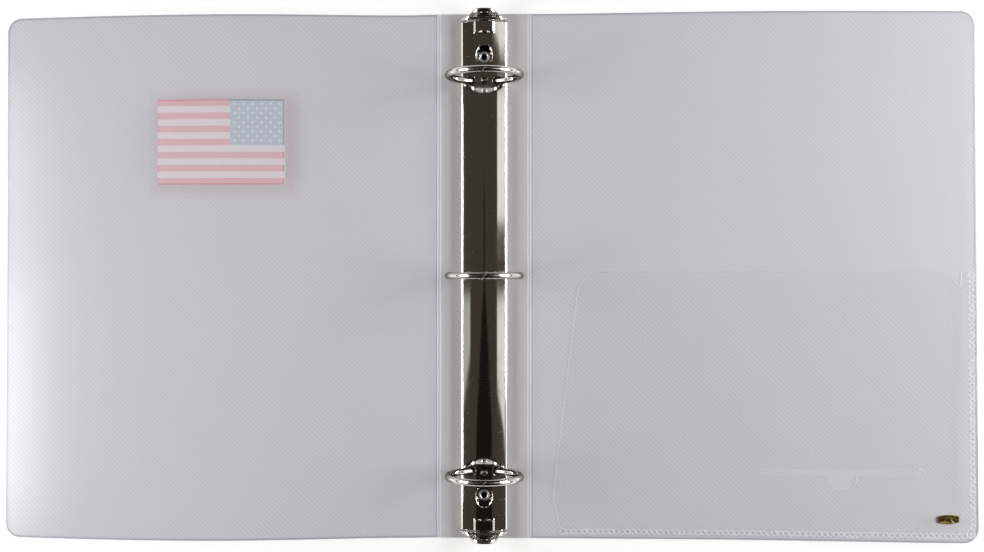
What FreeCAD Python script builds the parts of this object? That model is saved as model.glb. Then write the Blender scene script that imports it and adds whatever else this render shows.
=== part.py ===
import FreeCAD, Part
import math
import os
import re
import Sketcher
from FreeCAD import Placement, Rotation, Vector

# An open three-ring album binder, lying flat on a table with its inside up. X runs from the front
# cover to the back cover, Y up the page and Z up from the table. The origin is on the table, under
# the middle of the spine. The rings are shut.
doc = FreeCAD.newDocument("ring_album")

# Driving sizes, in millimetres.
driving = {
    # The sheet: two covers and a spine, with a thinned fold line on each side of the spine.
    "cover_height": 292.1,
    "cover_width": 245.0,
    "spine_width": 50.2,
    "sheet_thickness": 1.2,
    "web_thickness": 0.4,
    "web_clearance": 0.05,
    "fold_radius": 1.5,
    "corner_radius": 8.0,
    # The front cover lies bowed: it leaves the table past the fold and meets it at its free edge.
    "bow_start": 30.0,
    "bow_rise": 7.0,
    # The emblem on the outside of the front cover.
    "emblem_width": 69.9,
    "emblem_height": 46.8,
    "emblem_thickness": 0.9,
    "emblem_top_margin": 47.9,
    "glue_film": 0.1,
    # The film pocket inside the back cover, measured from the fold line, the cover's free edge
    # and its bottom edge.
    "film_thickness": 0.3,
    "pocket_gap": 0.3,
    "pocket_height": 148.5,
    "pocket_top_start": 27.8,
    "pocket_waist_start": 12.8,
    "pocket_waist_height": 22.8,
    "pocket_foot_start": 16.9,
    "pocket_foot_height": 5.5,
    "pocket_corner_radius": 14.5,
    "relief_start": 18.1,
    "relief_end": 10.5,
    "relief_depth": 7.1,
    "tab_start": 9.1,
    "weld_width": 3.4,
    "weld_side_inset": 3.3,
    "weld_bottom_inset": 4.0,
    "film_margin": 0.3,
    "card_slot_length": 89.8,
    "card_slot_width": 4.1,
    "card_slot_inset": 73.7,
    "card_slot_height": 37.8,
    "thumb_radius": 8.8,
    "label_width": 12.0,
    "label_height": 5.0,
    "label_thickness": 0.12,
    "label_corner": 1.4,
    "label_side_inset": 15.9,
    "label_bottom_inset": 12.3,
    # The arched steel housing of the ring metal.
    "housing_width": 26.0,
    "housing_inset": 5.55,
    "housing_height": 7.0,
    "crown_rise": 3.0,
    "steel_thickness": 0.8,
    "shoulder_radius": 1.3,
    "lip_height": 2.1,
    "lip_depth": 3.0,
    "hump_width": 10.6,
    "hump_length": 6.0,
    "hump_rise": 1.2,
    "hump_radius": 0.5,
    "press_overlap": 0.2,
    "cheek_margin": 1.2,
    "dish_top_diameter": 10.0,
    "dish_floor_diameter": 7.0,
    "dish_depth": 2.6,
    "dent_diameter": 4.6,
    "dent_depth": 0.4,
    "slot_length": 7.0,
    "slot_inner_clearance": 0.6,
    "slot_side_clearance": 0.5,
    # The ring halves, bent from round wire and staked to the hinge plates.
    "ring_outer_diameter": 42.5,
    "ring_wire": 3.7,
    "ring_pitch": 107.95,
    "ring_height": 23.3,
    "leg_offset": 7.1,
    "leg_bend": 2.6,
    "shank_diameter": 2.6,
    "shank_clearance": 0.05,
    "stake_length": 0.3,
    "tip_step": 0.7,
    "tip_slope": 0.5,
    "tip_gap": 0.14,
    # The two hinge plates under the housing.
    "plate_thickness": 0.8,
    "plate_end_gap": 1.1,
    "plate_clearance": 0.1,
    "plate_split": 0.3,
    "plate_notch_clearance": 0.6,
    # The tubular rivets, which hold the housing on the spine, midway between the end rings and the
    # raised ends of the housing.
    "rivet_head_diameter": 9.0,
    "rivet_head_height": 1.0,
    "rivet_shank": 4.5,
    "rivet_bore": 2.7,
    "rivet_flare_diameter": 6.6,
    "rivet_flare_height": 0.6,
    "rivet_clearance": 0.1,
    # The opening levers, which rock on trunnions in the ends of the housing.
    "lever_width": 25.7,
    "lever_gap": 0.7,
    "lever_band_length": 2.4,
    "lever_band_height": 2.2,
    "lever_band_rise": 2.4,
    "lever_band_proud": 0.6,
    "tab_width": 16.0,
    "tab_length": 7.8,
    "tab_thickness": 1.3,
    "tab_angle": 50.0,
    "tab_corner_radius": 4.0,
    "arm_width": 6.0,
    "arm_boss": 1.7,
    "trunnion_diameter": 1.8,
    "trunnion_clearance": 0.08,
    "pivot_inset": 3.0,
    "pivot_height": 4.0,
    "finger_reach": 6.5,
    "finger_thickness": 1.2,
    "finger_clearance": 0.3,
}

# Sizes worked out from the driving ones, each from those above it.
worked = {
    "outer_face": "rivet_head_height",
    "inner_face": "outer_face + sheet_thickness",
    "fold_x": "spine_width / 2",
    "fold_z": "outer_face + web_thickness / 2",
    "free_edge": "fold_x + cover_width",
    "half_height": "cover_height / 2",
    "bow_near": "-fold_x - bow_start",
    "bow_quarter": "(cover_width - bow_start) / 4",
    "bow_crest": "bow_near - 2 * bow_quarter",
    "bow_radius": "(bow_quarter ^ 2 + (bow_rise / 2) ^ 2) / bow_rise",
    "film_bottom": "inner_face + pocket_gap",
    "film_top": "film_bottom + film_thickness",
    "film_side": "free_edge - weld_side_inset + weld_width / 2 + film_margin",
    "film_foot": "-half_height + weld_bottom_inset - weld_width / 2 - film_margin",
    "pocket_top": "-half_height + pocket_height",
    "card_slot_x": "free_edge - card_slot_inset",
    "card_slot_y": "-half_height + card_slot_height",
    "card_slot_end": "card_slot_length / 2 - card_slot_width / 2",
    "crown_top": "inner_face + housing_height",
    "shoulder_z": "crown_top - crown_rise",
    "wall_x": "housing_width / 2 - steel_thickness",
    "lip_x": "housing_width / 2 - lip_depth",
    "arch_radius": "((housing_width / 2) ^ 2 + crown_rise ^ 2) / (2 * crown_rise)",
    "arch_inner_radius": "arch_radius - steel_thickness",
    "wall_top": "crown_top - arch_radius + sqrt(arch_inner_radius ^ 2 - wall_x ^ 2)",
    "housing_end": "half_height - housing_inset",
    "hump_top": "crown_top + hump_rise",
    "hump_start": "housing_end - hump_length",
    "channel_half": "hump_width / 2 - steel_thickness",
    "dish_floor_top": "crown_top - dish_depth",
    "dish_floor_bottom": "dish_floor_top - steel_thickness",
    "press_root": "crown_top - steel_thickness + press_overlap",
    "dish_flare": "(dish_top_diameter - dish_floor_diameter) / 2 / dish_depth",
    "dish_cut_radius": "dish_top_diameter / 2 + dish_flare * steel_thickness",
    "dish_outer_floor": "dish_floor_diameter / 2 + steel_thickness / 2",
    "dish_outer_rim": "dish_top_diameter / 2 + steel_thickness / 2",
    "plate_z": "inner_face + lip_height + plate_clearance + plate_thickness / 2",
    "plate_top": "plate_z + plate_thickness / 2",
    "plate_bottom": "plate_z - plate_thickness / 2",
    "plate_pivot_x": "wall_x - plate_clearance - plate_thickness / 2",
    "plate_notch": "dish_outer_rim + plate_notch_clearance - plate_split / 2",
    "ring_z": "inner_face + ring_height",
    "ring_radius": "ring_outer_diameter / 2 - ring_wire / 2",
    "ring_top": "ring_z + ring_radius",
    "tip_overrun": "tip_step + tip_gap + ring_wire / 2",
    "tip_overrun_z": "ring_z + sqrt(ring_radius ^ 2 - tip_overrun ^ 2)",
    "bend_reach": "leg_offset + leg_bend",
    "bend_drop": "sqrt((ring_radius + leg_bend) ^ 2 - bend_reach ^ 2)",
    "bend_share": "ring_radius / (ring_radius + leg_bend)",
    "bend_z": "ring_z - bend_drop",
    "slot_inner": "leg_offset - ring_wire / 2 - slot_inner_clearance",
    "slot_outer": "slot_inner + slot_length",
    "slot_half": "ring_wire / 2 + slot_side_clearance",
    "rivet_y": "(ring_pitch + hump_start) / 2",
    "rivet_hole": "rivet_shank / 2 + rivet_clearance",
    "rivet_top": "dish_floor_top + rivet_flare_height",
    "pivot_y": "housing_end - pivot_inset",
    "pivot_z": "inner_face + pivot_height",
    "plate_end": "pivot_y - 2 * arm_boss - plate_end_gap",
    "band_start": "housing_end + lever_gap",
    "band_top": "crown_top + lever_band_proud",
    "band_radius": "((lever_width / 2) ^ 2 + lever_band_rise ^ 2) / (2 * lever_band_rise)",
    "band_side_z": "band_top - lever_band_rise",
    "tab_root_y": "band_start + lever_band_length / 2",
    "tab_root_z": "band_top - lever_band_height / 2",
    "finger_top": "plate_bottom - finger_clearance",
    "finger_bottom": "finger_top - finger_thickness",
}


def spelled(text):
    def full_name(match):
        word = match.group(0)
        if word in driving:
            return "sizes." + word
        return "places." + word if word in worked else word
    return re.sub(r"[a-z]\w*", full_name, text)


def fill_sheet(name, cells):
    sheet = doc.addObject("Spreadsheet::Sheet", name)
    for row, (alias, content) in enumerate(cells.items(), start=1):
        sheet.set(f"A{row}", alias)
        sheet.set(f"B{row}", content)
        sheet.setAlias(f"B{row}", alias)
        doc.recompute()
    return sheet


sheet = fill_sheet("sizes", {alias: str(size) for alias, size in driving.items()})
fill_sheet("places", {alias: "=" + spelled(text) for alias, text in worked.items()})


def worth(text):
    return float(sheet.evalExpression(spelled(text)))


def bind(target, **texts):
    for name, text in texts.items():
        target.setExpression(name.replace("__", "."), spelled(text))


def place(target, x="0", y="0", z="0"):
    bind(target, Placement__Base__x=x, Placement__Base__y=y, Placement__Base__z=z)


def new_body(label):
    body = doc.addObject("PartDesign::Body", label)
    body.Label = label
    return body


def new_sketch(body, name, role, lift=None):
    sketch = body.newObject("Sketcher::SketchObject", name)
    plane = next(item for item in body.Origin.OriginFeatures if item.Role == role)
    sketch.AttachmentSupport = [(plane, "")]
    sketch.MapMode = "FlatFace"
    if lift:
        bind(sketch, AttachmentOffset__Base__z=lift)
    return sketch


def dimension(sketch, constraint, text):
    index = sketch.addConstraint(constraint)
    sketch.setExpression(f"Constraints[{index}]", spelled(text))


def pin(sketch, geometry, point, x, y):
    for kind, text in (("DistanceX", x), ("DistanceY", y)):
        dimension(sketch, Sketcher.Constraint(kind, -1, 1, geometry, point, worth(text)), text)


def circle(sketch, x, y, radius):
    centre = Vector(worth(x), worth(y), 0)
    geometry = sketch.addGeometry(Part.Circle(centre, Vector(0, 0, 1), worth(radius)))
    pin(sketch, geometry, 3, x, y)
    dimension(sketch, Sketcher.Constraint("Radius", geometry, worth(radius)), radius)


# A corner is (x, y) where a straight edge leaves it, or (x, y, radius, side) where an arc leaves it,
# with the arc's centre on the left (1) or the right (-1) of the way to the next corner.
def outline(sketch, corners, closed=True):
    points = [Vector(worth(corner[0]), worth(corner[1]), 0) for corner in corners]
    edges = len(corners) if closed else len(corners) - 1
    ends = []
    for number in range(edges):
        start, end = points[number], points[(number + 1) % len(corners)]
        corner = corners[number]
        if len(corner) == 2:
            geometry = sketch.addGeometry(Part.LineSegment(start, end))
            ends.append((geometry, 1, 2))
            continue
        radius, side = corner[2:]
        half = (end - start) * 0.5
        across = Vector(-half.y, half.x, 0).normalize() * side
        centre = start + half + across * math.sqrt(max(worth(radius) ** 2 - half.Length ** 2, 0))
        first, last = (start, end) if side > 0 else (end, start)
        angles = [math.atan2(p.y - centre.y, p.x - centre.x) for p in (first, last)]
        ring = Part.Circle(centre, Vector(0, 0, 1), worth(radius))
        geometry = sketch.addGeometry(Part.ArcOfCircle(ring, *angles))
        ends.append((geometry, 1, 2) if side > 0 else (geometry, 2, 1))
        dimension(sketch, Sketcher.Constraint("Radius", geometry, worth(radius)), radius)
    for number, (geometry, start, end) in enumerate(ends):
        pin(sketch, geometry, start, *corners[number][:2])
        if closed or number + 1 < edges:
            after, after_start, _ = ends[(number + 1) % edges]
            sketch.addConstraint(Sketcher.Constraint("Coincident", geometry, end, after, after_start))
        else:
            pin(sketch, geometry, end, *corners[-1][:2])


def rectangle(sketch, left, right, low, high):
    outline(sketch, [(left, low), (right, low), (right, high), (left, high)])


def both_ways(text):
    return f"-({text})", text


def pad(body, name, sketch, length, sides="One side", down=False):
    feature = body.newObject("PartDesign::Pad", name)
    feature.Profile = sketch
    feature.SideType = sides
    feature.Reversed = down
    bind(feature, Length=length)
    doc.recompute()
    return feature


# Cuts the same depth above and below the sketch, and makes sure that it met the solid.
def cut(body, name, sketch, length):
    before = body.Shape.Volume
    feature = body.newObject("PartDesign::Pocket", name)
    feature.Profile = sketch
    feature.SideType = "Symmetric"
    bind(feature, Length=length)
    doc.recompute()
    check_smaller(body, name, before)


def check_smaller(body, name, before):
    if not body.Shape.Volume < before:
        raise RuntimeError(f"{body.Label}: {name} cut nothing")


def round_edges(body, name, base, radius, chosen):
    names = [f"Edge{i}" for i, edge in enumerate(base.Shape.Edges, start=1) if chosen(edge)]
    feature = body.newObject("PartDesign::Fillet", name)
    feature.Base = (base, names)
    bind(feature, Radius=radius)
    doc.recompute()
    return feature


# Lengths closer than this count as the same when an edge is looked for.
same = 0.01


def upright_at(x, y):
    def chosen(edge):
        box, middle = edge.BoundBox, edge.CenterOfMass
        near = math.hypot(middle.x - worth(x), middle.y - worth(y)) < same
        return near and box.ZLength > same and box.XLength < same and box.YLength < same
    return chosen


def any_of(*tests):
    return lambda edge: any(test(edge) for test in tests)


along_y = Rotation(Vector(1, 0, 0), -90)
no_turn = Rotation()
half_turn = Rotation(Vector(0, 0, 1), 180)


# A rounded hollow along the fold line, so that the panel swings clear of the spine.
def hollow_fold(body, name, x):
    before = body.Shape.Volume
    hollow = body.newObject("PartDesign::SubtractiveCylinder", name)
    hollow.Placement = Placement(Vector(), along_y)
    bind(hollow, Radius="fold_radius", Height="cover_height")
    place(hollow, x, "-half_height", "fold_z")
    doc.recompute()
    check_smaller(body, name, before)


def make_spine_panel():
    body = new_body("spine_panel")
    sketch = new_sketch(body, "spine_outline", "XY_Plane", "outer_face")
    rectangle(sketch, *both_ways("fold_x"), *both_ways("half_height"))
    pad(body, "spine_sheet", sketch, "sheet_thickness")
    hollow_fold(body, "front_fold_hollow", "-fold_x")
    hollow_fold(body, "back_fold_hollow", "fold_x")
    holes = new_sketch(body, "spine_rivet_holes", "XY_Plane", "outer_face")
    for y in both_ways("rivet_y"):
        circle(holes, "0", y, "rivet_hole")
    cut(body, "spine_rivet_bores", holes, "4 * sheet_thickness")
    return body


def trim_cover(body, sheet_pad, fold, edge):
    free_corners = any_of(*[upright_at(edge, y) for y in both_ways("half_height")])
    round_edges(body, body.Label + "_corners", sheet_pad, "corner_radius", free_corners)
    hollow_fold(body, body.Label + "_fold_hollow", fold)


# The bow is three arcs of one radius, so that it starts and ends level.
def make_front_cover():
    body = new_body("front_cover")
    section = new_sketch(body, "front_cover_section", "XZ_Plane")
    near, far = "bow_near - bow_quarter", "bow_near - 3 * bow_quarter"
    low, high = "outer_face", "inner_face"
    outline(section, [
        ("-fold_x", low),
        ("bow_near", low, "bow_radius", -1),
        (near, low + " + bow_rise / 2", "bow_radius", 1),
        (far, low + " + bow_rise / 2", "bow_radius", -1),
        ("-free_edge", low),
        ("-free_edge", high, "bow_radius", 1),
        (far, high + " + bow_rise / 2", "bow_radius", -1),
        (near, high + " + bow_rise / 2", "bow_radius", 1),
        ("bow_near", high),
        ("-fold_x", high),
    ])
    sheet_pad = pad(body, "front_cover_sheet", section, "cover_height", "Symmetric")
    trim_cover(body, sheet_pad, "-fold_x", "-free_edge")
    return body


def make_back_cover():
    body = new_body("back_cover")
    sketch = new_sketch(body, "back_cover_outline", "XY_Plane", "outer_face")
    rectangle(sketch, "fold_x", "free_edge", *both_ways("half_height"))
    sheet_pad = pad(body, "back_cover_sheet", sketch, "sheet_thickness")
    trim_cover(body, sheet_pad, "fold_x", "free_edge")
    return body


# The thinned strip that is left of the sheet along a fold line.
def make_hinge_web(label, x):
    strip = doc.addObject("Part::Box", label + "_strip")
    bind(strip, Length="2 * fold_radius", Width="cover_height", Height="web_thickness")
    place(strip, x + " - fold_radius", "-half_height", "outer_face")
    bead = doc.addObject("Part::Cylinder", label + "_bead")
    bead.Placement = Placement(Vector(), along_y)
    bind(bead, Radius="fold_radius - web_clearance", Height="cover_height")
    place(bead, x, "-half_height", "fold_z")
    web = doc.addObject("Part::Common", label)
    web.Base = strip
    web.Tool = bead
    web.Label = label
    return web


# The emblem follows the middle arc of the cover's bow.
def make_emblem():
    def glued(x):
        drop = f"bow_radius - sqrt(bow_radius ^ 2 - ({x} - bow_crest) ^ 2)"
        return f"outer_face - glue_film + bow_rise - ({drop})"

    body = new_body("flag_emblem")
    section = new_sketch(body, "emblem_section", "XZ_Plane", "emblem_top_margin - half_height")
    middle = "-fold_x - cover_width / 2"
    left, right = middle + " - emblem_width / 2", middle + " + emblem_width / 2"
    outline(section, [
        (left, glued(left) + " - emblem_thickness", "bow_radius", -1),
        (right, glued(right) + " - emblem_thickness"),
        (right, glued(right), "bow_radius", 1),
        (left, glued(left)),
    ])
    pad(body, "emblem_plate", section, "emblem_height")
    return body


def make_pocket_sheet():
    body = new_body("pocket_sheet")
    sketch = new_sketch(body, "pocket_outline", "XY_Plane", "film_bottom")
    outline(sketch, [
        ("fold_x + pocket_foot_start", "film_foot"),
        ("film_side", "film_foot"),
        ("film_side", "pocket_top"),
        ("free_edge - tab_start", "pocket_top"),
        ("free_edge - tab_start", "pocket_top - relief_depth"),
        ("free_edge - relief_end", "pocket_top - relief_depth"),
        ("free_edge - relief_start", "pocket_top"),
        ("fold_x + pocket_top_start", "pocket_top"),
        ("fold_x + pocket_waist_start", "-half_height + pocket_waist_height"),
        ("fold_x + pocket_foot_start", "-half_height + pocket_foot_height"),
    ])
    film = pad(body, "pocket_film", sketch, "film_thickness")
    top_corner = upright_at("fold_x + pocket_top_start", "pocket_top")
    outer_corner = upright_at("film_side", "film_foot")
    rounded = round_edges(body, "pocket_top_corner", film, "pocket_corner_radius", top_corner)
    round_edges(body, "pocket_outer_corner", rounded,
                "corner_radius - weld_side_inset + weld_width / 2", outer_corner)
    half = "card_slot_width / 2"
    left, right = "card_slot_x - card_slot_end", "card_slot_x + card_slot_end"
    low, high = f"card_slot_y - {half}", f"card_slot_y + {half}"
    slot = new_sketch(body, "card_slot_outline", "XY_Plane", "film_bottom")
    outline(slot, [
        (left, low),
        (right, low, half, 1),
        (f"{right} + {half}", "card_slot_y", half, 1),
        (right, high),
        (left, high, half, 1),
        (f"{left} - {half}", "card_slot_y", half, 1),
    ])
    cut(body, "card_slot", slot, "4 * film_thickness")
    thumb = new_sketch(body, "thumb_outline", "XY_Plane", "film_bottom")
    outline(thumb, [
        ("card_slot_x - thumb_radius", "card_slot_y", "thumb_radius", 1),
        ("card_slot_x", "card_slot_y - thumb_radius", "thumb_radius", 1),
        ("card_slot_x + thumb_radius", "card_slot_y"),
    ])
    cut(body, "thumb_notch", thumb, "4 * film_thickness")
    return body


# The seams lie between the film and the cover and keep the pocket open by their thickness.
def make_welds():
    inner_side = "free_edge - weld_side_inset - weld_width / 2"
    outer_side = "free_edge - weld_side_inset + weld_width / 2"
    low = "-half_height + weld_bottom_inset - weld_width / 2"
    high = "-half_height + weld_bottom_inset + weld_width / 2"
    spans = {
        "pocket_bottom_weld": ("fold_x + pocket_foot_start", outer_side, low, high),
        "pocket_side_weld": (inner_side, outer_side, high, "pocket_top - film_margin"),
    }
    welds = []
    for label, span in spans.items():
        body = new_body(label)
        sketch = new_sketch(body, label + "_outline", "XY_Plane", "inner_face")
        rectangle(sketch, *span)
        seam = pad(body, label + "_seam", sketch, "pocket_gap")
        if label == "pocket_bottom_weld":
            round_edges(body, "weld_corner", seam, "weld_width / 2", upright_at(outer_side, low))
        welds.append(body)
    return welds


def make_label():
    body = new_body("foil_label")
    sketch = new_sketch(body, "label_outline", "XY_Plane", "film_top")
    x, y = "free_edge - label_side_inset", "-half_height + label_bottom_inset"
    sides = (x + " - label_width / 2", x + " + label_width / 2")
    ends = (y + " - label_height / 2", y + " + label_height / 2")
    rectangle(sketch, *sides, *ends)
    foil = pad(body, "label_foil", sketch, "label_thickness")
    corners = any_of(*[upright_at(side, end) for side in sides for end in ends])
    round_edges(body, "label_corners", foil, "label_corner", corners)
    return body


def housing_section(sketch):
    inner, wall, lip = "lip_x + steel_thickness", "wall_x", "lip_x"
    flange_top, lip_top = "inner_face + steel_thickness", "inner_face + lip_height"
    half = "housing_width / 2"
    outline(sketch, [
        (f"-{half}", "inner_face"),
        (f"-{lip}", "inner_face"),
        (f"-{lip}", lip_top),
        (f"-({inner})", lip_top),
        (f"-({inner})", flange_top),
        (f"-{wall}", flange_top),
        (f"-{wall}", "wall_top", "arch_inner_radius", -1),
        (wall, "wall_top"),
        (wall, flange_top),
        (inner, flange_top),
        (inner, lip_top),
        (lip, lip_top),
        (lip, "inner_face"),
        (half, "inner_face"),
        (half, "shoulder_z", "arch_radius", 1),
        (f"-{half}", "shoulder_z"),
    ])


def shoulder_edge(edge):
    box = edge.BoundBox
    on_side = abs(abs(edge.CenterOfMass.x) - worth("housing_width / 2")) < same
    on_top = abs(edge.CenterOfMass.z - worth("shoulder_z")) < same
    return on_side and on_top and box.YLength > worth("housing_end")


# Under each raised end the crown is opened, and two cheeks hang down to carry the lever's trunnions.
def raise_housing_end(body, name, sign):
    def run(start, end):
        ends = [f"{sign}({start})", f"{sign}({end})"]
        return ends[::-1] if sign else ends

    span = run("hump_start", "housing_end")
    outline_of_hump = new_sketch(body, name + "_hump_outline", "XY_Plane", "press_root")
    rectangle(outline_of_hump, *both_ways("hump_width / 2"), *span)
    hump = pad(body, name + "_hump", outline_of_hump, "hump_top - press_root")

    def roof_edge(edge):
        middle = edge.CenterOfMass
        on_this_hump = middle.y * worth(f"{sign}housing_end") > 0
        at_end = abs(abs(middle.y) - worth("housing_end")) < same
        on_roof = abs(edge.BoundBox.ZMin - worth("hump_top")) < same
        return on_this_hump and on_roof and not at_end

    round_edges(body, name + "_hump_edges", hump, "hump_radius", roof_edge)
    before = body.Shape.Volume
    roof = new_sketch(body, name + "_channel_outline", "XY_Plane", "hump_top - steel_thickness")
    rectangle(roof, *both_ways("channel_half"),
              *run("hump_start + steel_thickness", "housing_end + steel_thickness"))
    channel = body.newObject("PartDesign::Pocket", name + "_channel")
    channel.Profile = roof
    bind(channel, Length="hump_rise + steel_thickness + crown_rise")
    doc.recompute()
    check_smaller(body, channel.Name, before)
    for side, walls in (("left", ("-hump_width / 2", "-channel_half")),
                        ("right", ("channel_half", "hump_width / 2"))):
        cheek = new_sketch(body, f"{name}_{side}_cheek_outline", "XY_Plane", "press_root")
        rectangle(cheek, *walls, *span)
        pad(body, f"{name}_{side}_cheek", cheek,
            "press_root - pivot_z + trunnion_diameter / 2 + cheek_margin", down=True)
    bore = new_sketch(body, name + "_trunnion_outline", "YZ_Plane")
    circle(bore, f"{sign}pivot_y", "pivot_z", "trunnion_diameter / 2 + trunnion_clearance")
    cut(body, name + "_trunnion_bore", bore, "2 * hump_width")


def press_dish(body, name, y):
    plug = body.newObject("PartDesign::AdditiveCone", name + "_dish")
    bind(plug, Radius1="dish_outer_floor", Radius2="dish_outer_rim",
         Height="press_root - dish_floor_bottom")
    place(plug, "0", y, "dish_floor_bottom")
    doc.recompute()
    before = body.Shape.Volume
    hollow = body.newObject("PartDesign::SubtractiveCone", name + "_dish_hollow")
    bind(hollow, Radius1="dish_floor_diameter / 2", Radius2="dish_cut_radius",
         Height="dish_depth + steel_thickness")
    place(hollow, "0", y, "dish_floor_top")
    doc.recompute()
    check_smaller(body, hollow.Name, before)


def make_housing():
    body = new_body("ring_housing")
    section = new_sketch(body, "housing_section", "XZ_Plane")
    housing_section(section)
    shell = pad(body, "housing_shell", section, "2 * housing_end", "Symmetric")
    round_edges(body, "housing_shoulders", shell, "shoulder_radius", shoulder_edge)
    for name, y in zip(("bottom", "top"), both_ways("rivet_y")):
        press_dish(body, name, y)
    raise_housing_end(body, "top", "")
    raise_housing_end(body, "bottom", "-")
    bores = new_sketch(body, "housing_rivet_holes", "XY_Plane", "dish_floor_top")
    for y in both_ways("rivet_y"):
        circle(bores, "0", y, "rivet_hole")
    cut(body, "housing_rivet_bores", bores, "4 * steel_thickness")
    slots = new_sketch(body, "leg_slot_outlines", "XY_Plane", "crown_top")
    for y in ("-ring_pitch", "0", "ring_pitch"):
        for sign, turn in (("-", -1), ("", 1)):
            bend = f"{sign}(slot_outer - slot_half)"
            outline(slots, [
                (f"{sign}slot_inner", f"{y} + slot_half"),
                (f"{sign}slot_inner", f"{y} - slot_half"),
                (bend, f"{y} - slot_half", "slot_half", turn),
                (f"{sign}slot_outer", y, "slot_half", turn),
                (bend, f"{y} + slot_half"),
            ])
    cut(body, "leg_slots", slots, "2 * (crown_rise + steel_thickness)")
    dents = new_sketch(body, "dent_outlines", "XY_Plane", "crown_top")
    for y in ("-ring_pitch", "0", "ring_pitch"):
        circle(dents, "0", y, "dent_diameter / 2")
    cut(body, "dents", dents, "2 * dent_depth")
    return body


def make_hinge_plate(label, side):
    body = new_body(label)
    section = new_sketch(body, label + "_section", "XZ_Plane")
    half = "plate_thickness / 2"
    outline(section, [
        ("-plate_split / 2", "plate_bottom"),
        ("-plate_split / 2", "plate_top"),
        ("-plate_pivot_x", "plate_top", half, 1),
        (f"-plate_pivot_x - {half}", "plate_z", half, 1),
        ("-plate_pivot_x", "plate_bottom"),
    ])
    pad(body, label + "_blade", section, "2 * plate_end", "Symmetric")
    notches = new_sketch(body, label + "_notch_outlines", "XY_Plane", "plate_z")
    for y in both_ways("rivet_y"):
        circle(notches, "0", y, "plate_notch")
    cut(body, label + "_notches", notches, "4 * plate_thickness")
    holes = new_sketch(body, label + "_shank_holes", "XY_Plane", "plate_z")
    for y in ("-ring_pitch", "0", "ring_pitch"):
        circle(holes, "-leg_offset", y, "shank_diameter / 2 + shank_clearance")
    cut(body, label + "_shank_bores", holes, "4 * plate_thickness")
    body.Placement = Placement(Vector(), side)
    return body


# The left half of a ring. The joint at the top is a zigzag, so the same half, turned round, is the
# right half.
def make_ring_half(label, y, side):
    body = new_body(label)
    path = new_sketch(body, label + "_path", "XZ_Plane")
    outline(path, [
        ("tip_overrun", "tip_overrun_z", "ring_radius", 1),
        ("-bend_reach * bend_share", "ring_z - bend_drop * bend_share", "leg_bend", -1),
        ("-leg_offset", "bend_z"),
        ("-leg_offset", "plate_top"),
    ], closed=False)
    wire = new_sketch(body, label + "_wire", "XY_Plane", "plate_top")
    circle(wire, "-leg_offset", "0", "ring_wire / 2")
    pipe = body.newObject("PartDesign::AdditivePipe", label + "_pipe")
    pipe.Profile = wire
    pipe.Spine = (path, [])
    doc.recompute()
    joint = new_sketch(body, label + "_joint", "XY_Plane", "ring_top")
    outline(joint, [
        ("-tip_step - tip_gap / 2", "-ring_wire"),
        ("2 * tip_overrun", "-ring_wire"),
        ("2 * tip_overrun", "ring_wire"),
        ("tip_step - tip_gap / 2", "ring_wire"),
        ("tip_step - tip_gap / 2", "tip_slope"),
        ("-tip_step - tip_gap / 2", "-tip_slope"),
    ])
    cut(body, label + "_tip", joint, "3 * ring_wire")
    shank = new_sketch(body, label + "_shank_outline", "XY_Plane", "plate_top")
    circle(shank, "-leg_offset", "0", "shank_diameter / 2")
    pad(body, label + "_shank", shank, "plate_thickness + stake_length", down=True)
    body.Placement = Placement(Vector(), side)
    place(body, "0", y, "0")
    return body


# The lever at the top end: a sloping thumb tab on an arched band, and an arm that goes in under the
# raised end of the housing, rocks on two trunnions and ends in a finger below the hinge plates.
def make_lever(label, side):
    body = new_body(label)
    tab = new_sketch(body, label + "_tab_outline", "XY_Plane")
    tab.AttachmentOffset = Placement(Vector(), Rotation(Vector(1, 0, 0), driving["tab_angle"]))
    bind(tab, AttachmentOffset__Rotation__Angle="tab_angle",
         AttachmentOffset__Base__y="tab_root_y", AttachmentOffset__Base__z="tab_root_z")
    rectangle(tab, *both_ways("tab_width / 2"), "0", "tab_length")
    plate = pad(body, label + "_tab", tab, "tab_thickness")

    def tip_corner(edge):
        on_side = abs(abs(edge.CenterOfMass.x) - worth("tab_width / 2")) < same
        across = abs(edge.Length - worth("tab_thickness")) < same
        return on_side and across and edge.CenterOfMass.z > worth("tab_root_z + tab_length / 2")

    round_edges(body, label + "_tab_corners", plate, "tab_corner_radius", tip_corner)
    band = new_sketch(body, label + "_band_outline", "XZ_Plane", "-band_start")
    low = "band_side_z - lever_band_height"
    outline(band, [
        ("-lever_width / 2", low, "band_radius", -1),
        ("lever_width / 2", low),
        ("lever_width / 2", "band_side_z", "band_radius", 1),
        ("-lever_width / 2", "band_side_z"),
    ])
    pad(body, label + "_band", band, "lever_band_length", down=True)
    arm = new_sketch(body, label + "_arm_outline", "YZ_Plane")
    inner = "pivot_y - finger_reach"
    outline(arm, [
        (inner, "finger_bottom"),
        ("pivot_y - arm_boss", "finger_bottom"),
        ("pivot_y + arm_boss / 2", "pivot_z - arm_boss + trunnion_clearance"),
        ("tab_root_y", "pivot_z - arm_boss / 3"),
        ("tab_root_y", "tab_root_z"),
        ("pivot_y - arm_boss", "pivot_z + arm_boss"),
        ("pivot_y - 2 * arm_boss", "finger_top"),
        (inner, "finger_top"),
    ])
    pad(body, label + "_arm", arm, "arm_width", "Symmetric")
    trunnion = new_sketch(body, label + "_trunnion_outline", "YZ_Plane")
    circle(trunnion, "pivot_y", "pivot_z", "trunnion_diameter / 2")
    pad(body, label + "_trunnions", trunnion, "hump_width", "Symmetric")
    body.Placement = Placement(Vector(), side)
    return body


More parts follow.
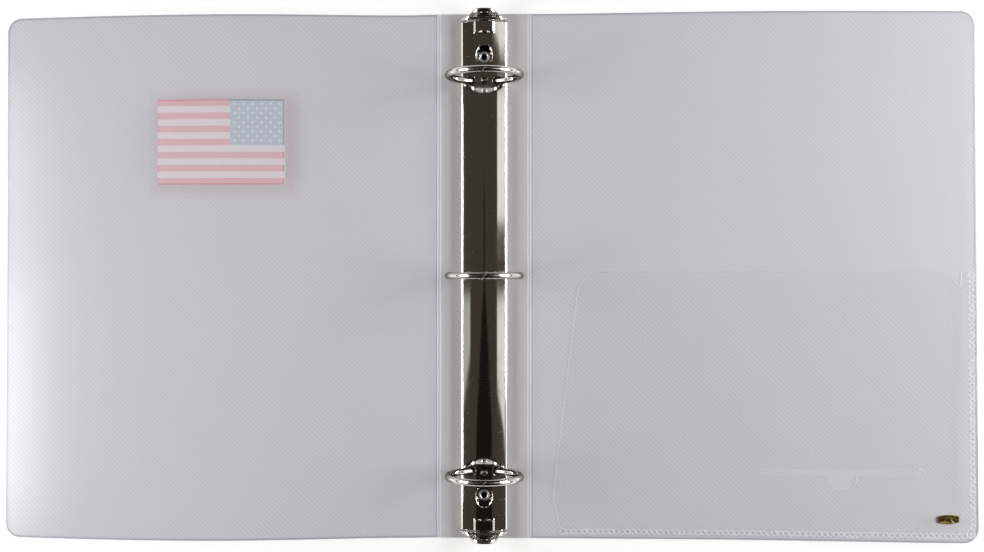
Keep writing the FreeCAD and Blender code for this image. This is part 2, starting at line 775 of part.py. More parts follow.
def make_rivet(label, y):
    body = new_body(label)
    section = new_sketch(body, label + "_section", "XZ_Plane")
    outline(section, [
        ("rivet_bore / 2", "0"),
        ("rivet_head_diameter / 2", "0"),
        ("rivet_head_diameter / 2", "rivet_head_height"),
        ("rivet_shank / 2", "rivet_head_height"),
        ("rivet_shank / 2", "dish_floor_top"),
        ("rivet_flare_diameter / 2", "dish_floor_top"),
        ("rivet_flare_diameter / 2", "dish_floor_top + rivet_flare_height / 2"),
        ("rivet_bore / 2 + rivet_flare_height / 2", "rivet_top"),
        ("rivet_bore / 2", "rivet_top - rivet_flare_height / 2"),
    ])
    turned = body.newObject("PartDesign::Revolution", label + "_turned")
    turned.Profile = section
    turned.ReferenceAxis = (section, ["V_Axis"])
    turned.Angle = 360
    doc.recompute()
    place(body, "0", y, "0")
    return body


sub_parts = [
    make_spine_panel(),
    make_front_cover(),
    make_back_cover(),
    make_hinge_web("front_hinge_web", "-fold_x"),
    make_hinge_web("back_hinge_web", "fold_x"),
    make_emblem(),
    make_pocket_sheet(),
    *make_welds(),
    make_label(),
    make_housing(),
]
for side, turn in (("left", no_turn), ("right", half_turn)):
    sub_parts.append(make_hinge_plate(side + "_hinge_plate", turn))
    for level, y in (("top", "ring_pitch"), ("middle", "0"), ("bottom", "-ring_pitch")):
        sub_parts.append(make_ring_half(f"{level}_ring_{side}_half", y, turn))
sub_parts.append(make_lever("top_lever", no_turn))
sub_parts.append(make_lever("bottom_lever", half_turn))
sub_parts.append(make_rivet("top_rivet", "rivet_y"))
sub_parts.append(make_rivet("bottom_rivet", "-rivet_y"))
doc.recompute()

for item in doc.Objects:
    if "Invalid" in item.State or "Error" in item.State:
        raise RuntimeError(f"{item.Label} failed: {item.State}")
for item in sub_parts:
    shape = item.Shape
    if shape.isNull() or not shape.isValid() or len(shape.Solids) != 1:
        raise RuntimeError(f"{item.Label}: not one valid solid")

os.makedirs("parts", exist_ok=True)
for item in sub_parts:
    item.Shape.exportStep(f"parts/{item.Label}.step")
print(f"{len(sub_parts)} sub-parts written")
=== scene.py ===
import math

import bmesh
import bpy
from mathutils import Matrix, Vector
from mathutils.geometry import delaunay_2d_cdt


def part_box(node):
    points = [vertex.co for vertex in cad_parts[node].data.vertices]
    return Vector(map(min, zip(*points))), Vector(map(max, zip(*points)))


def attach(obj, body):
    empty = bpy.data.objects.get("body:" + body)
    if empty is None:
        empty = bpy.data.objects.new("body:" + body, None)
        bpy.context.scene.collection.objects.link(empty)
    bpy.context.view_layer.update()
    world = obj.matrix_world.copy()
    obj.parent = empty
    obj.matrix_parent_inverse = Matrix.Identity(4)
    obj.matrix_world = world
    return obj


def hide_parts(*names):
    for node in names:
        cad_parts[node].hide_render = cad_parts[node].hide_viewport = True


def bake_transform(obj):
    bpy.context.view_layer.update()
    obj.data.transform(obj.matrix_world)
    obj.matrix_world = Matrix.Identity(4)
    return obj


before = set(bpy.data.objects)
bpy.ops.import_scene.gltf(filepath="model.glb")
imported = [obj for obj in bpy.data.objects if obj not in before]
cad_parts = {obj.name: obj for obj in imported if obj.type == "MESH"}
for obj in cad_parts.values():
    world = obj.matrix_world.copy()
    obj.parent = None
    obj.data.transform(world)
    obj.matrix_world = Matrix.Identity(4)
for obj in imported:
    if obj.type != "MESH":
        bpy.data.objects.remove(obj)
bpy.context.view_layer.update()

scene = bpy.context.scene
scene.view_settings.view_transform = "Standard"
mm = 0.001
ringPitch = 107.95 * mm


# shader maths: a wrapped socket, so that masks are written as plain expressions
class Sock:
    def __init__(self, finish, socket):
        self.finish = finish
        self.socket = socket

    def calc(self, operation, *values):
        numbered = dict(enumerate(values))
        return self.finish.node("ShaderNodeMath", {"operation": operation}, numbered)

    def __add__(self, other):
        return self.calc("ADD", self, other)

    def __radd__(self, other):
        return self.calc("ADD", other, self)

    def __sub__(self, other):
        return self.calc("SUBTRACT", self, other)

    def __rsub__(self, other):
        return self.calc("SUBTRACT", other, self)

    def __mul__(self, other):
        return self.calc("MULTIPLY", self, other)

    def __rmul__(self, other):
        return self.calc("MULTIPLY", other, self)

    def __truediv__(self, other):
        return self.calc("DIVIDE", self, other)

    def __rtruediv__(self, other):
        return self.calc("DIVIDE", other, self)

    def __pow__(self, other):
        return self.calc("POWER", self, other)

    def __gt__(self, other):
        return self.calc("GREATER_THAN", self, other)

    def __lt__(self, other):
        return self.calc("LESS_THAN", self, other)

    def __abs__(self):
        return self.calc("ABSOLUTE", self)

    def cos(self):
        return self.calc("COSINE", self)

    def floor(self):
        return self.calc("FLOOR", self)

    def most(self, other):
        return self.calc("MAXIMUM", self, other)

    def least(self, other):
        return self.calc("MINIMUM", self, other)

    def ease(self, start, end):
        settings = {"interpolation_type": "SMOOTHSTEP"}
        values = {"Value": self, "From Min": start, "From Max": end}
        return self.finish.node("ShaderNodeMapRange", settings, values)


# one node tree of a material or the world
class Finish:
    def __init__(self, owner):
        owner.use_nodes = True
        self.owner = owner
        self.tree = owner.node_tree
        self.tree.nodes.clear()

    def node(self, kind, settings=None, values=None, out=0):
        made = self.tree.nodes.new(kind)
        for name, value in (settings or {}).items():
            setattr(made, name, value)
        for name, value in (values or {}).items():
            if isinstance(value, Sock):
                self.tree.links.new(value.socket, made.inputs[name])
            else:
                made.inputs[name].default_value = value
        return Sock(self, made.outputs[out]) if made.outputs else made

    def where(self, output="Object"):
        return self.node("ShaderNodeTexCoord", out=output)

    def axes(self, where, names="XYZ"):
        return [self.node("ShaderNodeSeparateXYZ", None, {0: where}, name) for name in names]

    def tint(self, factor, first, second):
        return self.node("ShaderNodeMix", {"data_type": "RGBA"}, {0: factor, 6: first, 7: second}, 2)

    def noise(self, where, scale, detail=3.0, roughness=0.5):
        values = {"Vector": where, "Scale": scale, "Detail": detail, "Roughness": roughness}
        return self.node("ShaderNodeTexNoise", None, values)

    def bump(self, height, distance, strength=1.0):
        values = {"Height": height, "Distance": distance, "Strength": strength}
        return self.node("ShaderNodeBump", None, values)

    def surface(self, shader, target="ShaderNodeOutputMaterial"):
        self.node(target, None, {"Surface": shader})
        return self.owner

    def principled(self, **values):
        named = {name.replace("_", " "): value for name, value in values.items()}
        return self.surface(self.node("ShaderNodeBsdfPrincipled", None, named))


def newFinish(name):
    return Finish(bpy.data.materials.new(name))


# the emblem: a striped plate with a starred corner, printed right through
emblem = {
    "stripes": 13,
    "cantonStripes": 7,
    "cantonShare": 0.426,
    "starRows": 9,
    "starColumns": 11,
    "starPoints": 5,
    "starRadius": 0.95 * mm,
    "starInner": 0.45,
    "starRise": 0.05 * mm,
    "glue": 0.1 * mm,
    "thickness": 0.9 * mm,
    "edgeRound": 0.15 * mm,
    "step": 4 * mm,
    "rim": 0.7 * mm,
    "rimSoft": 0.7,
    "speck": (0.9, 0.9, 0.9, 1),
    "speckShare": 0.1,
    "speckScale": 900,
    "roughness": (0.3, 0.15),
    "relief": (0.02 * mm, 0.3),
    "grown": (1.1 * mm, 0.6 * mm),
    "front": {
        "red": (0.58, 0.03, 0.05, 1),
        "white": (0.82, 0.82, 0.82, 1),
        "blue": (0.03, 0.07, 0.26, 1),
        "rimRed": (0.5, 0.02, 0.04, 1),
        "rimBlue": (0.02, 0.05, 0.2, 1),
        "glow": 0.0,
    },
    "back": {
        "red": (0.497, 0.255, 0.278, 1),
        "white": (0.52, 0.468, 0.475, 1),
        "blue": (0.287, 0.342, 0.408, 1),
        "rimRed": (0.4, 0.03, 0.09, 1),
        "rimBlue": (0.025, 0.03, 0.13, 1),
        # painted light: the back's print glows as if lit from the table beneath, though it is no lamp
        "glow": 0.61,
    },
}


# frosted sheet, with diagonal lines pressed into it, their lighter colour a painted glint, and faint
# cloudiness
frosted = {
    "colour": (0.41, 0.41, 0.452, 1),
    "lineGlintColour": (0.478, 0.478, 0.523, 1),
    # the tint of a painted shadow around the emblem, pinkish from red light bounced off it
    "paintedShadowColour": (0.37, 0.3, 0.325, 1),
    # painted shade: the spine's own warmer copy of the sheet's colours stands for the shade of the housing
    # and rings above it and the warm light they reflect
    "spineShadedColour": (0.545, 0.53, 0.542, 1),
    "spineShadedLineGlint": (0.59, 0.575, 0.587, 1),
    "edgeColour": (0.36, 0.36, 0.41, 1),
    "edgeLineGlint": (0.4, 0.4, 0.45, 1),
    "linePitch": 1.94 * mm,
    "lineSharpness": 4.0,
    "overEmblem": 0.2,
    "paintedShadowReach": 9 * mm,
    "paintedShadowShift": (2.5 * mm, -1.5 * mm),
    "veil": 0.75,
    "gluedVeil": 0.42,
    "glueShift": (0.5 * mm, -0.25 * mm),
    "underVeil": 0.06,
    "shadowShare": 0.3,
    "cloudColour": (0.45, 0.45, 0.49, 1),
    "cloudShare": 0.1,
    "cloudScale": 14,
    "cloudEase": (0.25, 0.75),
    "patchScale": 30,
    "patchEase": (0.3, 0.7),
    "patchShare": 0.3,
    "speckScale": 2600,
    "paintedShadowShare": 0.6,
    "roughness": 0.2,
    "speckRough": 0.06,
    "lineSmooth": 0.03,
    # height of the lines and of the specks, and the bump's depth and strength
    "heights": (0.9, 0.1),
    "relief": (0.02 * mm, 0.35),
    "ior": 1.49,
}


def diagonalLines(x, y):
    turns = (x + y) * (math.tau / (frosted["linePitch"] * math.sqrt(2)))
    return (turns.cos() * 0.5 + 0.5) ** frosted["lineSharpness"]


# the emblem's box, carried along by the bow
def emblemBox():
    low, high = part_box("flag_emblem")
    middle = (low + high) / 2
    moved = Vector(frontLift(middle.x, middle.y, 0)).xy.to_3d() - middle.xy.to_3d()
    return low + moved, high + moved + Vector((*emblem["grown"], 0))


# how far a spot is outside the emblem, below zero over it
def outsideEmblem(x, y, shift):
    low, high = emblemBox()
    middle = (low + high) / 2
    across = abs(x - (middle.x + shift[0])) - (high.x - middle.x)
    return across.most(abs(y - (middle.y + shift[1])) - (high.y - middle.y))


def veilAlpha(f, veil, shadowShare):
    inShadow = f.node("ShaderNodeLightPath", out="Is Shadow Ray")
    return veil - inShadow * (veil * (1 - shadowShare))


def makeFrosted(name, colour, lineGlintColour, veil):
    f = newFinish(name)
    where = f.where()
    x, y = f.axes(where, "XY")
    overEmblem = outsideEmblem(x, y, frosted["glueShift"]) < 0
    # painted shadow: a soft tint beside and below the emblem stands for its shadow and its red bounced light
    # on the table seen through the sheet
    paintedShadow = 1 - outsideEmblem(x, y, frosted["paintedShadowShift"]).ease(0, frosted["paintedShadowReach"])
    lines = diagonalLines(x, y) * (1 - overEmblem * (1 - frosted["overEmblem"]))
    cloud = f.noise(where, frosted["cloudScale"], 4)
    speck = f.noise(where, frosted["speckScale"], 2)
    patches = f.noise(where, frosted["patchScale"], 2).ease(*frosted["patchEase"]) * frosted["patchShare"]
    # the pressed lines are painted lighter, a painted glint along them
    shade = f.tint(lines * (1 - frosted["patchShare"] + patches), colour, lineGlintColour)
    clouds = cloud.ease(*frosted["cloudEase"]) * frosted["cloudShare"]
    clouded = f.tint(clouds, shade, frosted["cloudColour"])
    cloudedAndShadowed = f.tint(paintedShadow * (1 - overEmblem) * frosted["paintedShadowShare"], clouded, frosted["paintedShadowColour"])
    roughness = frosted["roughness"] + (speck - 0.5) * frosted["speckRough"] - lines * frosted["lineSmooth"]
    lineHeight, speckHeight = frosted["heights"]
    normal = f.bump(lines * lineHeight + speck * speckHeight, *frosted["relief"])
    # glue behind the emblem wets the sheet, which is clearer there
    glued = veil - overEmblem * max(veil - frosted["gluedVeil"], 0)
    alpha = veilAlpha(f, glued, frosted["shadowShare"])
    return f.principled(Base_Color=cloudedAndShadowed, Roughness=roughness, Alpha=alpha, Normal=normal,
                        IOR=frosted["ior"])


# a finish between two shades, mixed by a fine grain that also roughens it
def makeGrained(name, look, veil=None):
    f = newFinish(name)
    where = f.where()
    if "stretch" in look:
        where = f.node("ShaderNodeMapping", None, {"Vector": where, "Scale": look["stretch"]})
    grain = f.noise(where, look["scale"], look["detail"])
    colour = f.tint(grain, look["dark"], look["pale"])
    smooth, rough = look["roughness"]
    values = {"Base_Color": colour, "Roughness": smooth + grain * rough}
    values["Normal"] = f.bump(grain, *look["relief"])
    if "shadowShare" in look:
        values["Alpha"] = veilAlpha(f, veil(f, where) if veil else look["veil"], look["shadowShare"])
        values["IOR"] = frosted["ior"]
    # a glow is painted light, on a part that is no lamp
    if "glow" in look:
        values["Emission_Color"] = colour
        values["Emission_Strength"] = look["glow"]
    if "metallic" in look:
        values["Metallic"] = look["metallic"]
    return f.principled(**values)


# the sheet where it is creased white along the folds
crease = {"dark": (0.54, 0.54, 0.57, 1), "pale": (0.7, 0.7, 0.73, 1), "scale": 900, "detail": 3,
          "roughness": (0.35, 0.1), "relief": (0.03 * mm, 0.4), "veil": 0.85, "shadowShare": 0.3}
# the film where it is welded to the sheet
weldLook = {"dark": (0.68, 0.69, 0.73, 1), "pale": (0.82, 0.83, 0.87, 1), "scale": 1100, "detail": 3,
            "roughness": (0.22, 0.12), "relief": (0.03 * mm, 0.3), "veil": 0.52, "shadowShare": 0.3}
# the hinge plates, rolled lengthwise
springSteel = {"dark": (0.36, 0.36, 0.35, 1), "pale": (0.56, 0.55, 0.53, 1), "scale": 1, "detail": 3,
               "stretch": (900, 12, 900), "roughness": (0.28, 0.2), "relief": (0.02 * mm, 0.4),
               "metallic": 1.0}
# the dull inside of a rivet's tube, painted near black for the shade inside it
bore = {"dark": (0.008, 0.009, 0.009, 1), "pale": (0.03, 0.034, 0.034, 1), "scale": 700, "detail": 3,
        "roughness": (0.55, 0.2), "relief": (0.02 * mm, 0.3)}
# the raised stars, which glow with painted light
star = {"dark": (0.6, 0.6, 0.62, 1), "pale": (0.7, 0.7, 0.7, 1), "scale": 1200, "detail": 2,
        "roughness": (0.3, 0.15), "relief": (0.02 * mm, 0.3), "glow": 0.4}


# clear pocket film
film = {"thin": (0.47, 0.475, 0.5, 1), "milky": (0.57, 0.575, 0.6, 1), "veil": 0.02, "shadowShare": 0.2,
        "cloudScale": 22, "speckScale": 1900, "roughness": (0.16, 0.08), "relief": (0.15 * mm, 0.25)}


def makeFilm():
    f = newFinish("clearFilm")
    where = f.where()
    cloud = f.noise(where, film["cloudScale"], 3)
    speck = f.noise(where, film["speckScale"], 2)
    colour = f.tint(cloud, film["thin"], film["milky"])
    smooth, rough = film["roughness"]
    alpha = veilAlpha(f, film["veil"], film["shadowShare"])
    return f.principled(Base_Color=colour, Roughness=smooth + speck * rough, Alpha=alpha,
                        IOR=frosted["ior"], Normal=f.bump(cloud, *film["relief"]))


# the film's milky cut edge, with a painted highlight: it shows strongly where it catches the light, on its
# slanted side, at the tab, at the slot's ends and at the thumb notch, and fades elsewhere
bead = {
    "dark": (0.55, 0.56, 0.57, 1),
    "pale": (0.68, 0.68, 0.69, 1),
    "scale": 700,
    "detail": 3,
    "roughness": (0.25, 0.12),
    "relief": (0.04 * mm, 0.4),
    "faint": 0.05,
    "full": 0.55,
    "shadowShare": 0.4,
    "slant": (54 * mm, 80 * mm),
    "tab": (258 * mm, 262.5 * mm),
    "tabFoot": -6 * mm,
    "slotStart": 155 * mm,
    "slotStartShare": 0.3,
    "slotEnd": 237.8 * mm,
    "slotTop": -100 * mm,
    "thumb": (199 * mm, 204.9 * mm),
    "thumbTop": -110.2 * mm,
    "thumbShare": 1.4,
}


# painted highlight: the bead is more opaque where its edge catches the light
def beadHighlightVeil(f, where):
    x, y = f.axes(where, "XY")
    slant = 1 - x.ease(*bead["slant"])
    tab = (x > bead["tab"][0]) * (x < bead["tab"][1]) * (y > bead["tabFoot"])
    slotStart = (x < bead["slotStart"]) * bead["slotStartShare"]
    slotEnds = slotStart + (x > bead["slotEnd"]) * (x < bead["tab"][0])
    thumb = (x > bead["thumb"][0]) * (x < bead["thumb"][1]) * (y < bead["thumbTop"])
    cut = slotEnds.most(thumb * bead["thumbShare"]) * (y < bead["slotTop"])
    return slant.most(tab).most(cut) * (bead["full"] - bead["faint"]) + bead["faint"]


# bright nickel plate, with faint smears, dust and drawn-sheet waviness
nickel = {
    "plate": (0.83, 0.81, 0.78, 1),
    "zinc": (0.78, 0.81, 0.85, 1),
    "worn": (0.62, 0.59, 0.55, 1),
    "edge": (0.22, 0.21, 0.2, 1),
    "smearScale": 60,
    "smearEase": (0.45, 0.8),
    "smearShare": 0.35,
    "smearRoughEase": (0.4, 0.8),
    "smearRough": 0.05,
    "dustScale": 1500,
    "dustFrom": 0.74,
    "dustShare": 0.4,
    "dustRough": 0.25,
    "dustRelief": 0.002,
    "waveScale": 26,
    "waveRelief": 0.5,
    "thinWave": 0.02 * mm,
    "broadWave": 0.25 * mm,
    "housingRough": 0.055,
    "wireRough": 0.13,
    "leverRough": 0.1,
    "rivetRough": 0.36,
}
# the parting line of a ring, which runs across the wire in a zigzag
ringJoint = {"step": 0.7 * mm, "slope": 1.4, "half": 0.2 * mm, "above": 38 * mm, "dull": 0.4}


def partingLine(f, where):
    x, y, z = f.axes(where)
    fromRing = y - ringPitch * ((y > ringPitch / 2) - (y < -ringPitch / 2))
    zigzag = (fromRing * ringJoint["slope"]).most(-ringJoint["step"]).least(ringJoint["step"])
    return (abs(x - zigzag) < ringJoint["half"]) * (z > ringJoint["above"])


def makeNickel(name, plate, waviness, rough, edge=(1, 1, 1, 1), parted=False):
    f = newFinish(name)
    where = f.where()
    smear = f.noise(where, nickel["smearScale"], 5, 0.6)
    dust = f.noise(where, nickel["dustScale"], 2)
    dusty = dust > nickel["dustFrom"]
    worn = smear.ease(*nickel["smearEase"]) * nickel["smearShare"] + dusty * nickel["dustShare"]
    colour = f.tint(worn, plate, nickel["worn"])
    smeared = smear.ease(*nickel["smearRoughEase"]) * nickel["smearRough"]
    roughness = rough + smeared + dusty * nickel["dustRough"]
    wave = f.noise(where, nickel["waveScale"], 1)
    if parted:
        roughness = roughness + partingLine(f, where) * ringJoint["dull"]
    return f.principled(Base_Color=colour, Metallic=1.0, Roughness=roughness, Specular_Tint=edge,
                        Normal=f.bump(wave + dust * nickel["dustRelief"], waviness, nickel["waveRelief"]))


# crumpled gold foil, with one painted highlight in a bright streak along a fold across it
foil = {
    "dark": (0.06, 0.042, 0.012, 1),
    "pale": (0.27, 0.2, 0.055, 1),
    "bright": (0.9, 0.74, 0.3, 1),
    "highlightShift": 1.2 * mm,
    "highlightSlope": 0.8,
    "highlightSoft": (0.2 * mm, 0.5 * mm),
    "highlightTop": 0.3 * mm,
    "wrinkleScale": 420,
    "wrinkleDepth": 0.2,
    "crumpleScale": 520,
    "crumpleEase": (0.35, 0.7),
    "roughness": (0.26, 0.22),
    "relief": (0.25 * mm, 0.7),
}


def makeFoil():
    f = newFinish("goldFoil")
    where = f.where()
    x, y = f.axes(where, "XY")
    values = {"Vector": where, "Scale": foil["wrinkleScale"]}
    wrinkle = f.node("ShaderNodeTexVoronoi", {"feature": "DISTANCE_TO_EDGE"}, values)
    crumple = f.noise(where, foil["crumpleScale"], 3)
    dark = f.tint(crumple.ease(*foil["crumpleEase"]), foil["dark"], foil["pale"])
    low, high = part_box("foil_label")
    middle = (low + high) / 2
    # painted highlight: a bright streak along the fold, on the lower part only
    fromFold = abs((x - middle.x - foil["highlightShift"]) + (y - middle.y) * foil["highlightSlope"])
    highlightStreak = (1 - fromFold.ease(*foil["highlightSoft"])) * (y < middle.y + foil["highlightTop"])
    colour = f.tint(highlightStreak, dark, foil["bright"])
    smooth, rough = foil["roughness"]
    height = crumple + wrinkle.least(foil["wrinkleDepth"])
    return f.principled(Base_Color=colour, Metallic=1.0, Roughness=smooth + crumple * rough,
                        Normal=f.bump(height, *foil["relief"]))


# small shape helpers, all in metres in the frame's own axes
sameSpot = 1e-7
tiny = 1e-6


def ease(value, start, end):
    t = min(max((value - start) / (end - start), 0), 1)
    return t * t * (3 - 2 * t)


def spread(start, end, count):
    return [start + (end - start) * i / count for i in range(count + 1)]


def arc(cx, cy, radius, start, end, count):
    angles = [math.radians(a) for a in spread(start, end, count)]
    return [(cx + radius * math.cos(a), cy + radius * math.sin(a)) for a in angles]


def archRadius(half, rise):
    return (half ** 2 + rise ** 2) / (2 * rise)


def dense(corners, step):
    made = []
    for (ax, ay), (bx, by) in zip(corners, corners[1:] + corners[:1]):
        pieces = max(1, round(math.hypot(bx - ax, by - ay) / step))
        made += [(ax + (bx - ax) * i / pieces, ay + (by - ay) * i / pieces) for i in range(pieces)]
    return made


# moves a closed outline to its left, which is into the sheet for both edges and holes
def inset(loop, amount, sharpest=0.3):
    moved = []
    for i, point in enumerate(loop):
        before, here, after = Vector(loop[i - 1]), Vector(point), Vector(loop[(i + 1) % len(loop)])
        a, b = (here - before).normalized(), (after - here).normalized()
        left, right = Vector((-a.y, a.x)), Vector((-b.y, b.x))
        moved.append(tuple(here + (left + right) * (amount / max(1 + left.dot(right), sharpest))))
    return moved


def isInside(x, y, loop):
    found = False
    for (ax, ay), (bx, by) in zip(loop, loop[1:] + loop[:1]):
        if (ay > y) != (by > y) and x < (bx - ax) * (y - ay) / (by - ay) + ax:
            found = not found
    return found


def distanceTo(x, y, loop):
    best = 1.0
    for (ax, ay), (bx, by) in zip(loop, loop[1:] + loop[:1]):
        dx, dy = bx - ax, by - ay
        t = min(max(((x - ax) * dx + (y - ay) * dy) / max(dx * dx + dy * dy, 1e-18), 0), 1)
        best = min(best, math.hypot(x - ax - t * dx, y - ay - t * dy))
    return best


# triangles over a flat outline with holes, with extra points a step apart inside
def fillFlat(loops, step, clear=0.4):
    points, edges = [], []

    def isSheet(x, y):
        return isInside(x, y, loops[0]) and not any(isInside(x, y, hole) for hole in loops[1:])

    for loop in loops:
        start = len(points)
        points += loop
        edges += [(start + i, start + (i + 1) % len(loop)) for i in range(len(loop))]
    xs, ys = [p[0] for p in loops[0]], [p[1] for p in loops[0]]
    for x in spread(min(xs), max(xs), max(2, round((max(xs) - min(xs)) / step))):
        for y in spread(min(ys), max(ys), max(2, round((max(ys) - min(ys)) / step))):
            if isSheet(x, y) and min(distanceTo(x, y, loop) for loop in loops) > step * clear:
                points.append((x, y))
    made = delaunay_2d_cdt([Vector(p) for p in points], edges, [], 1, sameSpot)
    kept = []
    for face in made[2]:
        x, y = (sum(made[0][i][axis] for i in face) / len(face) for axis in (0, 1))
        if isSheet(x, y):
            kept.append(face)
    return made[0], kept


# a closed sheet: the outer outline runs anticlockwise and holes clockwise, and the profile gives
# (inset, height) from the top rim round the edge to the bottom rim
def slab(loops, profile, step, lift=None, edgeFinish=0, underFinish=0):
    mesh = bmesh.new()

    def vertex(x, y, z):
        return mesh.verts.new(lift(x, y, z) if lift else (x, y, z))

    for loop in loops:
        rows = [[vertex(x, y, z) for x, y in inset(loop, d)] for d, z in profile]
        for upper, lower in zip(rows, rows[1:]):
            for i in range(len(loop)):
                j = (i + 1) % len(loop)
                mesh.faces.new((upper[i], lower[i], lower[j], upper[j])).material_index = edgeFinish
    for (d, z), finish in ((profile[0], 0), (profile[-1], underFinish)):
        points, triangles = fillFlat([inset(loop, d) for loop in loops], step)
        corners = [vertex(x, y, z) for x, y in points]
        for triangle in triangles:
            mesh.faces.new([corners[i] for i in triangle]).material_index = finish
    bmesh.ops.remove_doubles(mesh, verts=mesh.verts, dist=sameSpot)
    bmesh.ops.recalc_face_normals(mesh, faces=mesh.faces)
    return mesh


def roundEdge(low, high, radius, count=3):
    top = [(radius * (1 - math.sin(a)), high - radius * (1 - math.cos(a)))
           for a in spread(0, math.pi / 2, count)]
    return top + [(d, low + high - z) for d, z in reversed(top)]


# turns a closed or axis-to-axis (radius, height) profile about an upright axis
def lathe(mesh, profile, count, closed, place=Matrix()):
    rings = []
    for radius, height in profile:
        turns = [math.tau * i / count for i in range(count if radius > 1e-9 else 1)]
        spots = [Vector((radius * math.cos(a), radius * math.sin(a), height)) for a in turns]
        rings.append([mesh.verts.new(place @ spot) for spot in spots])
    pairs = list(zip(rings, rings[1:] + rings[:1])) if closed else list(zip(rings, rings[1:]))
    for lower, upper in pairs:
        for i in range(count):
            j = (i + 1) % count
            loop = [lower[i % len(lower)], lower[j % len(lower)]]
            loop += [upper[j % len(upper)], upper[i % len(upper)]]
            mesh.faces.new(list(dict.fromkeys(loop)))


def newObject(name, mesh, finishes):
    data = bpy.data.meshes.new(name)
    mesh.to_mesh(data)
    mesh.free()
    for finish in finishes:
        data.materials.append(finish)
    made = bpy.data.objects.new(name, data)
    scene.collection.objects.link(made)
    return made


# an object from a mesh, with its finish, body and the nodes that it stands for
def addPiece(name, mesh, finishes, nodes, body=None, sharp=40):
    bmesh.ops.recalc_face_normals(mesh, faces=mesh.faces)
    piece = newObject(name, mesh, finishes)
    piece.data.shade_smooth()
    piece.data.set_sharp_from_angle(angle=math.radians(sharp))
    if body:
        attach(piece, body)
    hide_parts(*nodes)
    return piece


def joinInto(first, second):
    kept = bpy.data.meshes.new("joined")
    second.to_mesh(kept)
    first.from_mesh(kept)
    bpy.data.meshes.remove(kept)
    second.free()


# the covers lie a little bowed on the table, and what is fixed to them follows
webLow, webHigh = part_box("front_hinge_web")
foldX = -(webLow.x + webHigh.x) / 2
coverLow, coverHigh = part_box("back_cover")
coverReach = coverHigh.x - foldX
halfHeight = coverHigh.y
bow = {
    "start": 15 * mm,
    "lowPower": 1.5,
    "frontRise": 8.5 * mm,
    "frontTwist": 1.2 * mm,
    "frontCorner": 2.8 * mm,
    "frontCornerStart": 60 * mm,
    "frontCornerReach": 1.3,
    "frontDrawnIn": 0.9 * mm,
    "frontSlip": 0.3 * mm,
    "frontSlipReach": 20 * mm,
    "frontSkew": 0.0022,
    "backRise": 3.6 * mm,
    "backCorner": 4.6 * mm,
    "backCornerStart": 95 * mm,
    "backSkew": 0.0006,
}


def arch(fromFold):
    q = min(max((fromFold - bow["start"]) / (coverReach - bow["start"]), 0), 1)
    # it stays low near the fold, so that the open rings clear the shut cover
    return math.sin(math.pi * q) ** (bow["lowPower"] if q < 0.5 else 1)


def frontLift(x, y, z):
    fromFold, up = -x - foldX, y / halfHeight
    cornerEnd = coverReach * bow["frontCornerReach"]
    corner = ease(fromFold, bow["frontCornerStart"], cornerEnd) * ((1 - up) / 2) ** 2
    rise = arch(fromFold) * (bow["frontRise"] - bow["frontTwist"] * up) + corner * bow["frontCorner"]
    across = bow["frontDrawnIn"] * ease(fromFold, bow["start"], coverReach)
    down = bow["frontSlip"] * ease(fromFold, 0, bow["frontSlipReach"]) + bow["frontSkew"] * max(fromFold, 0)
    return x + across, y - down, z + rise


def backLift(x, y, z):
    fromFold, up = x - foldX, y / halfHeight
    corner = ease(fromFold, bow["backCornerStart"], coverReach) * (1 - up) / 2
    rise = arch(fromFold) * bow["backRise"] * (1 + up) / 2 + corner * bow["backCorner"]
    return x, y - bow["backSkew"] * max(fromFold, 0), z + rise


frostedFinish = makeFrosted("frostedPlastic", frosted["colour"], frosted["lineGlintColour"], frosted["veil"])
# the spine's copy of the sheet, with its painted shade
spineShadedFinish = makeFrosted("frostedSpinePaintedShade", frosted["spineShadedColour"], frosted["spineShadedLineGlint"], frosted["veil"])
edgeFinish = makeFrosted("frostedEdge", frosted["edgeColour"], frosted["edgeLineGlint"], frosted["veil"])
underFinish = makeFrosted("frostedOutside", frosted["colour"], frosted["lineGlintColour"], frosted["underVeil"])
creaseFinish = makeGrained("whitenedFold", crease)
filmFinish = makeFilm()
beadHighlightFinish = makeGrained("milkyBeadPaintedHighlight", bead, beadHighlightVeil)
weldFinish = makeGrained("pressedWeld", weldLook)
housingFinish = makeNickel("drawnNickel", nickel["plate"], nickel["broadWave"], nickel["housingRough"])
wireFinish = makeNickel("wireNickel", nickel["plate"], nickel["thinWave"], nickel["wireRough"],
                        nickel["edge"], True)
leverFinish = makeNickel("leverNickel", nickel["plate"], nickel["thinWave"], nickel["leverRough"])
rivetFinish = makeNickel("satinZinc", nickel["zinc"], nickel["thinWave"], nickel["rivetRough"])
boreShadeFinish = makeGrained("dullBorePaintedShade", bore)
steelFinish = makeGrained("springSteel", springSteel)
foilFinish = makeFoil()
print("finishes:", len(bpy.data.materials))


cover = {"cornerRadius": 8.0 * mm, "edgeRound": 0.35 * mm, "border": 1.0 * mm, "step": 6 * mm}


